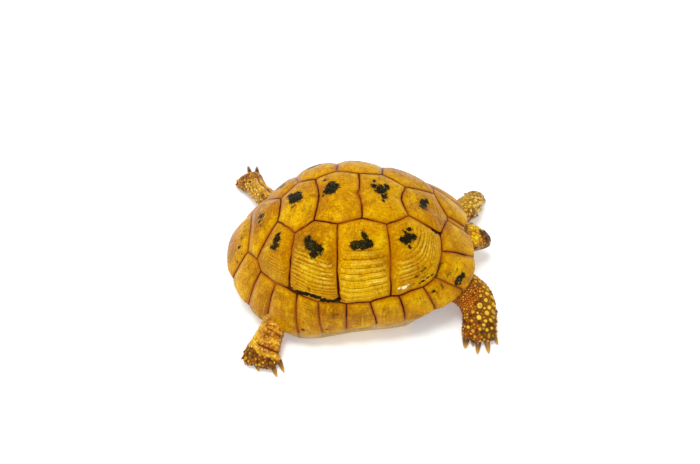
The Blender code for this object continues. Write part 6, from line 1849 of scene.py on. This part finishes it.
def build_beak(tree):
    mat = beak_material()
    parts = []
    for upper in (True, False):
        cols, rows = 84, 12
        beta = np.radians(np.linspace(-86, 86, cols))
        grid_out, grid_in = [], []
        for v in np.linspace(0, 1, rows):
            ring_o, ring_i = [], []
            for bt in beta:
                front = math.exp(-((bt / 0.30) ** 2))
                back = min(abs(bt) / math.radians(86), 1)
                line = -2.45 - 0.35 * front - 0.35 * back
                if upper:
                    top = line + 2.5 - 0.9 * back - 1.1 * back ** 6 - 0.1 * front
                    y = (line - 0.55 * front) + (top - (line - 0.55 * front)) * v
                    offset = 0.30 * (1 - smooth_step(np.array(v), 0.55, 1.0)) + 0.06 + 0.08 * front
                else:
                    low = line - (1.9 - 0.7 * back - 0.8 * back ** 6)
                    y = (line - 0.12) + (low - (line - 0.12)) * v
                    offset = 0.10 * (1 - smooth_step(np.array(v), 0.5, 1.0)) + 0.04
                direction = HEAD_T * math.cos(bt) + HEAD_SIDE * math.sin(bt)
                start = head_point(0.64, 0, y)
                hit = tree.ray_cast(Vector(start), Vector(direction))[0]
                spot = np.array(hit) if hit is not None else start + direction * 5
                ring_o.append(spot + direction * float(offset))
                ring_i.append(spot - direction * 0.45)
            grid_out.append(ring_o)
            grid_in.append(ring_i)
        outer, inner = np.array(grid_out), np.array(grid_in)
        for _ in range(3):
            for g in (outer,):
                g[:, 1:-1] = g[:, 1:-1] * 0.4 + (g[:, :-2] + g[:, 2:]) * 0.3
        n = rows * cols
        points = np.vstack([outer.reshape(-1, 3), inner.reshape(-1, 3)])
        q = grid_faces(rows, cols, wrap=False)
        border = list(range(cols)) + [r * cols + cols - 1 for r in range(1, rows)] + [(rows - 1) * cols + c for c in range(cols - 2, -1, -1)] + [r * cols for r in range(rows - 2, 0, -1)]
        border = np.array(border)
        nxt = np.roll(border, -1)
        rim_faces = np.stack([border, nxt, nxt + n, border + n], 1)
        faces = np.vstack([q, q[:, ::-1] + n, rim_faces[:, ::-1]])
        part = {"points": points, "faces": [faces], "attributes": {}, "uv": None}
        part = outward(part, head_point(0.8, 0, -2))
        vv = np.tile(np.repeat(np.linspace(0, 1, rows), cols), 2)
        part["attributes"] = {"along": vv, "round": np.tile(np.tile(np.linspace(0, 1, cols), rows), 2)}
        part["uv"] = np.stack([0.02 + 0.96 * np.tile(np.tile(np.linspace(0, 1, cols), rows), 2), (0.0 if upper else 0.5) + 0.24 * vv + 0.25 * np.repeat([0, 1], n)], 1)
        parts.append(part)
    points, faces, attributes, uv = joined(parts)
    place(build("beak", points, faces, mat, attributes, uv), ["head"], "beak_horn")


# =============================================================================
# plastron
# =============================================================================
BELLY_CORNER = {
    "tip": (0.0, 1.06), "gm": (0.0, 0.70), "hm": (0.0, 0.46), "pm": (0.0, 0.30), "am": (180.0, 0.34), "fm": (180.0, 0.64), "end": (180.0, 1.06),
    "ge": (24.0, 1.06), "he": (50.0, 1.06), "pe": (70.0, 1.06), "ae": (116.0, 1.06), "fe": (150.0, 1.06),
}
BELLY = (
    ("gular", ("tip", "ge", "gm")), ("humeral", ("gm", "ge", "he", "hm")), ("pectoral", ("hm", "he", "pe", "pm")),
    ("abdominal", ("pm", "pe", "ae", "am")), ("femoral", ("am", "ae", "fe", "fm")), ("anal", ("fm", "fe", "end")),
)


def belly(theta, q):
    """The underside by angle and share: flat to 0.86, then round its edge, up the bridge and in."""
    theta, q = np.broadcast_arrays(np.asarray(theta, float), np.asarray(q, float))
    half = half_turn(theta)
    b = blend_of_bridge(half)
    x, y, _ = rim(half)
    edge = np.hypot(x, y - SHELL_CENTRE_Y) - inset_at(half)
    lip = shell(half, lip_share(half))
    lip_rho, lip_z = np.hypot(lip[..., 0], lip[..., 1] - SHELL_CENTRE_Y), lip[..., 2]
    mix = lambda opening, bridge: opening + (bridge - opening) * b
    stops = np.array([0, 0.86, 0.93, 1.0, 1.06, 1.12])
    rho = np.stack([edge * 0, edge - 5.0, edge - 2.4, mix(edge - 0.6, lip_rho - 3.6), mix(edge - 0.3, lip_rho - 0.8), mix(edge - 1.2, lip_rho - 3.4)])
    z = np.stack([edge * 0, edge * 0, edge * 0 + 0.9, mix(PLASTRON_T - 4.6, lip_z * 0.5), mix(PLASTRON_T - 3.0, lip_z - 1.1), mix(PLASTRON_T - 0.9, lip_z - 1.3)])
    k = np.clip(np.searchsorted(stops, q, "right") - 1, 0, 4)
    f = (q - stops[k]) / (stops[k + 1] - stops[k])
    take = lambda a, j: np.take_along_axis(a, j[None], 0)[0]
    r = take(rho, k) * (1 - f) + take(rho, k + 1) * f
    h = take(z, k) * (1 - f) + take(z, k + 1) * f
    return radial(theta, r, h)


def belly_normal(theta, q):
    e = 0.006
    q = np.maximum(q, 0.02)
    n = np.cross(belly(theta, q + e) - belly(theta, q - e), belly(theta + e, q) - belly(theta - e, q))
    return unit(n)


def belly_border(corners, count):
    path = []
    for k, a in enumerate(corners):
        b = corners[(k + 1) % len(corners)]
        if a[1] > 1.05 and b[1] > 1.05:
            ta, tb = math.radians(a[0]), math.radians(b[0])
            path += [np.array([-1.06 * math.sin(t), -1.06 * math.cos(t)]) for t in ta + (tb - ta) * np.linspace(0, 1, 50, endpoint=False)]
        else:
            pa, pb = flat(*a), flat(*b)
            path += [pa + (pb - pa) * f for f in np.linspace(0, 1, 40, endpoint=False)]
    path = np.array(path)
    t, q = unflat(path)
    spots = belly(t, q)
    at = np.r_[0, np.cumsum(np.linalg.norm(np.roll(spots, -1, axis=0) - spots, axis=1))]
    want = np.linspace(0, at[-1], count, endpoint=False)
    closed = np.vstack([path, path[:1]])
    return np.stack([np.interp(want, at, closed[:, 0]), np.interp(want, at, closed[:, 1])], 1)


def belly_material():
    t = Tree("plastron_horn", 0.40, 0.25, coat=0.04, coat_roughness=0.2, tint=(1.0, 0.8, 0.4))
    ring, seam, blot, tone = (t.attr(k) for k in ("ring", "seam", "blot", "tone"))
    mid = t.noise(80, 4, 0.6)
    fine = t.noise(420, 4, 0.6)
    base = t.ramp(t.math("MULTIPLY_ADD", tone, 0.35, t.math("MULTIPLY", mid, 0.65)), [(0.3, srgb(176, 132, 44)), (0.5, srgb(206, 164, 70)), (0.7, srgb(222, 188, 100))])
    wave = t.math("FRACT", ring)
    base = t.mix(t.math("MULTIPLY", t.step(wave, 0.22, 0.0), 0.40), base, srgb(136, 88, 22))
    dark = t.math("ADD", blot, t.math("MULTIPLY", t.math("SUBTRACT", t.noise(130, 5, 0.68), 0.5), 1.3))
    base = t.mix(t.math("MULTIPLY", t.step(dark, 0.42, 0.62), 0.85), base, srgb(44, 30, 14))
    base = t.mix(t.math("MULTIPLY", t.step(t.math("MULTIPLY_ADD", t.math("SUBTRACT", mid, 0.5), 2.0, seam), 2.4, 0.2), 0.45), base, srgb(150, 98, 28))
    base = t.mix(t.step(t.math("MULTIPLY_ADD", t.math("SUBTRACT", fine, 0.5), 0.5, seam), 0.45, 0.12), base, srgb(70, 38, 10))
    return t.finish(base, t.ramp(fine, [(0.3, (0.32,) * 3), (0.7, (0.52,) * 3)]), t.bump(fine, 0.00012, 0.7))


def build_belly():
    mat = belly_material()
    middle = np.array([0, SHELL_CENTRE_Y, 30.0])
    parts = []
    rows, cols = 46, 132
    for k, (name, names) in enumerate(BELLY):
        for side in (1, -1):
            corners = [(BELLY_CORNER[n][0] * side, BELLY_CORNER[n][1]) for n in names]
            border = belly_border(corners, cols)
            centre = border.mean(0)
            ts = np.linspace(0, 1, rows) ** 0.92
            plan = (centre + (border - centre)[None] * ts[:, None, None]).reshape(-1, 2)
            plan_w = plan + np.stack([value_noise(plan * 9, 151), value_noise(plan * 9 + 30, 152)], -1) * 0.006 * np.clip((1.05 - np.hypot(plan[:, 0], plan[:, 1])) / 0.1, 0, 1)[:, None]
            t, q = unflat(plan_w)
            base, normal = belly(t, q), belly_normal(t, q)
            border3 = base.reshape(rows, cols, 3)[-1]
            inward = (base.mean(0) - middle)
            if (normal * (base - middle)).sum() < 0:
                normal = -normal
            seam = distance_to(base, border3)
            away = seam.max()
            ring = (away - seam) / 2.6 + 0.15 * fractal(base * 0.06, 160, 2) + 20
            phase = np.mod(ring, 1.0)
            lift = -0.10 - 0.55 * np.exp(-((seam / 0.55) ** 2)) - 0.10 * (np.abs(2 * phase - 1) ** 3) - 0.06 * (1 + fractal(base * 0.15, 161, 3))
            points = base + normal * lift[:, None]
            points[:, 2] = np.maximum(points[:, 2], 0.02)
            skirt = border3 - normal.reshape(rows, cols, 3)[-1] * 1.8
            points = np.vstack([points, skirt])
            points[:cols] = points[:cols].mean(0)
            heart = belly(*unflat((centre * 0.92)[None]))[0]
            blot = np.clip(1.15 - np.linalg.norm((base - heart) * np.array([0.75, 1.15, 0.6]), axis=1) / (0.62 * away + 3), 0, 1) * (0.72 if name in ("pectoral", "abdominal", "femoral") else 0.55)
            tail = lambda v: np.r_[v, v.reshape(rows, cols)[-1]]
            faces = grid_faces(rows + 1, cols)
            first = faces[:cols]
            tris = np.stack([np.full(cols, 0), first[:, 2], first[:, 3]], 1)
            index = k * 2 + (side < 0)
            xy = np.concatenate([(plan - centre), (border - centre) * 1.02])
            uv = np.array([index % 4, index // 4]) / 4 + (xy / (np.abs(xy).max() * 2.1) + 0.5) / 4
            tone = 0.5 + 0.5 * fractal(base * 0.03, 170 + k, 2)
            part = {"points": points, "faces": [faces[cols:], tris], "uv": uv,
                    "attributes": {"ring": tail(ring), "seam": np.r_[seam, np.zeros(cols)], "blot": tail(blot), "tone": tail(tone)}}
            parts.append(outward(part, middle))
    points, faces, attributes, uv = joined(parts)
    place(build("plastron_scutes", points, faces, mat, attributes, uv), ["plastron"], "plastron_horn")
    # the bone inside, closed
    count = 180
    theta = np.linspace(0, 2 * math.pi, count, endpoint=False)
    rings = [belly(theta, q) for q in (0.45, 0.86, 0.93, 1.0, 1.06, 1.12)]
    inner = []
    for r in rings:
        r = r.copy()
        rho, z = place_of(r)
        inner.append(radial(theta, np.maximum(rho - 1.0, 1.0), np.clip(z + 0.9, 0.9, None)))
    b = blend_of_bridge(theta)
    rho_rim, _ = place_of(shell(theta, np.ones(count)))
    edge = rho_rim - inset_at(theta)
    inner.append(radial(theta, edge - 9.5, np.full(count, PLASTRON_T)))
    body = closed_rings(inner)
    body["attributes"] = {"seam": np.full(len(body["points"]), 9.0)}
    u = np.r_[np.tile(np.linspace(0, 1, count, endpoint=False), len(inner)), 0.5, 0.5]
    v = np.r_[np.repeat(np.linspace(0.05, 0.95, len(inner)), count), 0, 1]
    place(build("plastron_bone", body["points"], body["faces"], bpy.data.materials["underside_shade_horn"], body["attributes"], np.stack([u, v], 1)), ["plastron"], "plastron_horn")


# =============================================================================
# stage
# =============================================================================
def build_stage():
    floor = bpy.data.meshes.new("floor")
    floor.from_pydata([(-6, -6, 0), (6, -6, 0), (6, 6, 0), (-6, 6, 0)], [], [(0, 1, 2, 3)])
    obj = bpy.data.objects.new("floor", floor)
    bpy.context.scene.collection.objects.link(obj)
    t = Tree("floor_paper", 0.9, 0.1)
    t.shader.inputs["Emission Color"].default_value = (1, 1, 1, 1)
    t.shader.inputs["Emission Strength"].default_value = 0.22
    obj.data.materials.append(t.finish(t.ramp(t.noise(3.0, 2), [(0.3, (0.955, 0.955, 0.95)), (0.7, (0.97, 0.97, 0.968))]), 0.9))
    world = bpy.data.worlds.new("studio")
    world.use_nodes = True
    world.node_tree.nodes["Background"].inputs["Color"].default_value = (1.0, 0.998, 0.992, 1)
    world.node_tree.nodes["Background"].inputs["Strength"].default_value = 0.62
    bpy.context.scene.world = world

    def area(name, at, size, power, towards=(0, 0, 0.03)):
        light = bpy.data.lights.new(name, "AREA")
        light.shape = "DISK"
        light.size = size
        light.energy = power
        light.color = (1, 0.996, 0.985)
        o = bpy.data.objects.new(name, light)
        o.location = at
        o.rotation_mode = "QUATERNION"
        o.rotation_quaternion = (Vector(towards) - Vector(at)).to_track_quat("-Z", "Y")
        bpy.context.scene.collection.objects.link(o)

    area("key", (-0.04, 0.10, 0.98), 0.40, 5.2)
    area("front", (-0.9, -0.25, 0.60), 0.5, 0.55)
    area("rear", (-0.15, 0.90, 0.55), 0.5, 1.3)


def build_camera():
    cam = bpy.data.cameras.new("camera")
    obj = bpy.data.objects.new("camera", cam)
    bpy.context.scene.collection.objects.link(obj)
    r = Vector((-0.02085276, -0.99963168, -0.01736829))
    u = Vector((0.75225744, -0.02713037, 0.65831048))
    f = Vector((0.658539224, -0.000662165, -0.752546113))
    at = Vector((-259.832, -2.457, 340.708)) * MM
    obj.matrix_world = Matrix(((r.x, u.x, -f.x, at.x), (r.y, u.y, -f.y, at.y), (r.z, u.z, -f.z, at.z), (0, 0, 0, 1)))
    cam.sensor_fit = "HORIZONTAL"
    cam.sensor_width = 36.0
    cam.lens = 528.607 / 700 * 36.0
    cam.clip_start, cam.clip_end = 0.01, 50
    bpy.context.scene.camera = obj
    scene = bpy.context.scene
    scene.view_settings.view_transform = "Standard"
    scene.view_settings.look = "None"


build_shell()
build_belly()
SKIN_POINTS, SKIN_TRIS, SKIN_TREE = build_skin()
build_claws()
build_eyes()
build_lids(bpy.data.materials["scale_horn"])
build_beak(SKIN_TREE)
build_stage()
build_camera()
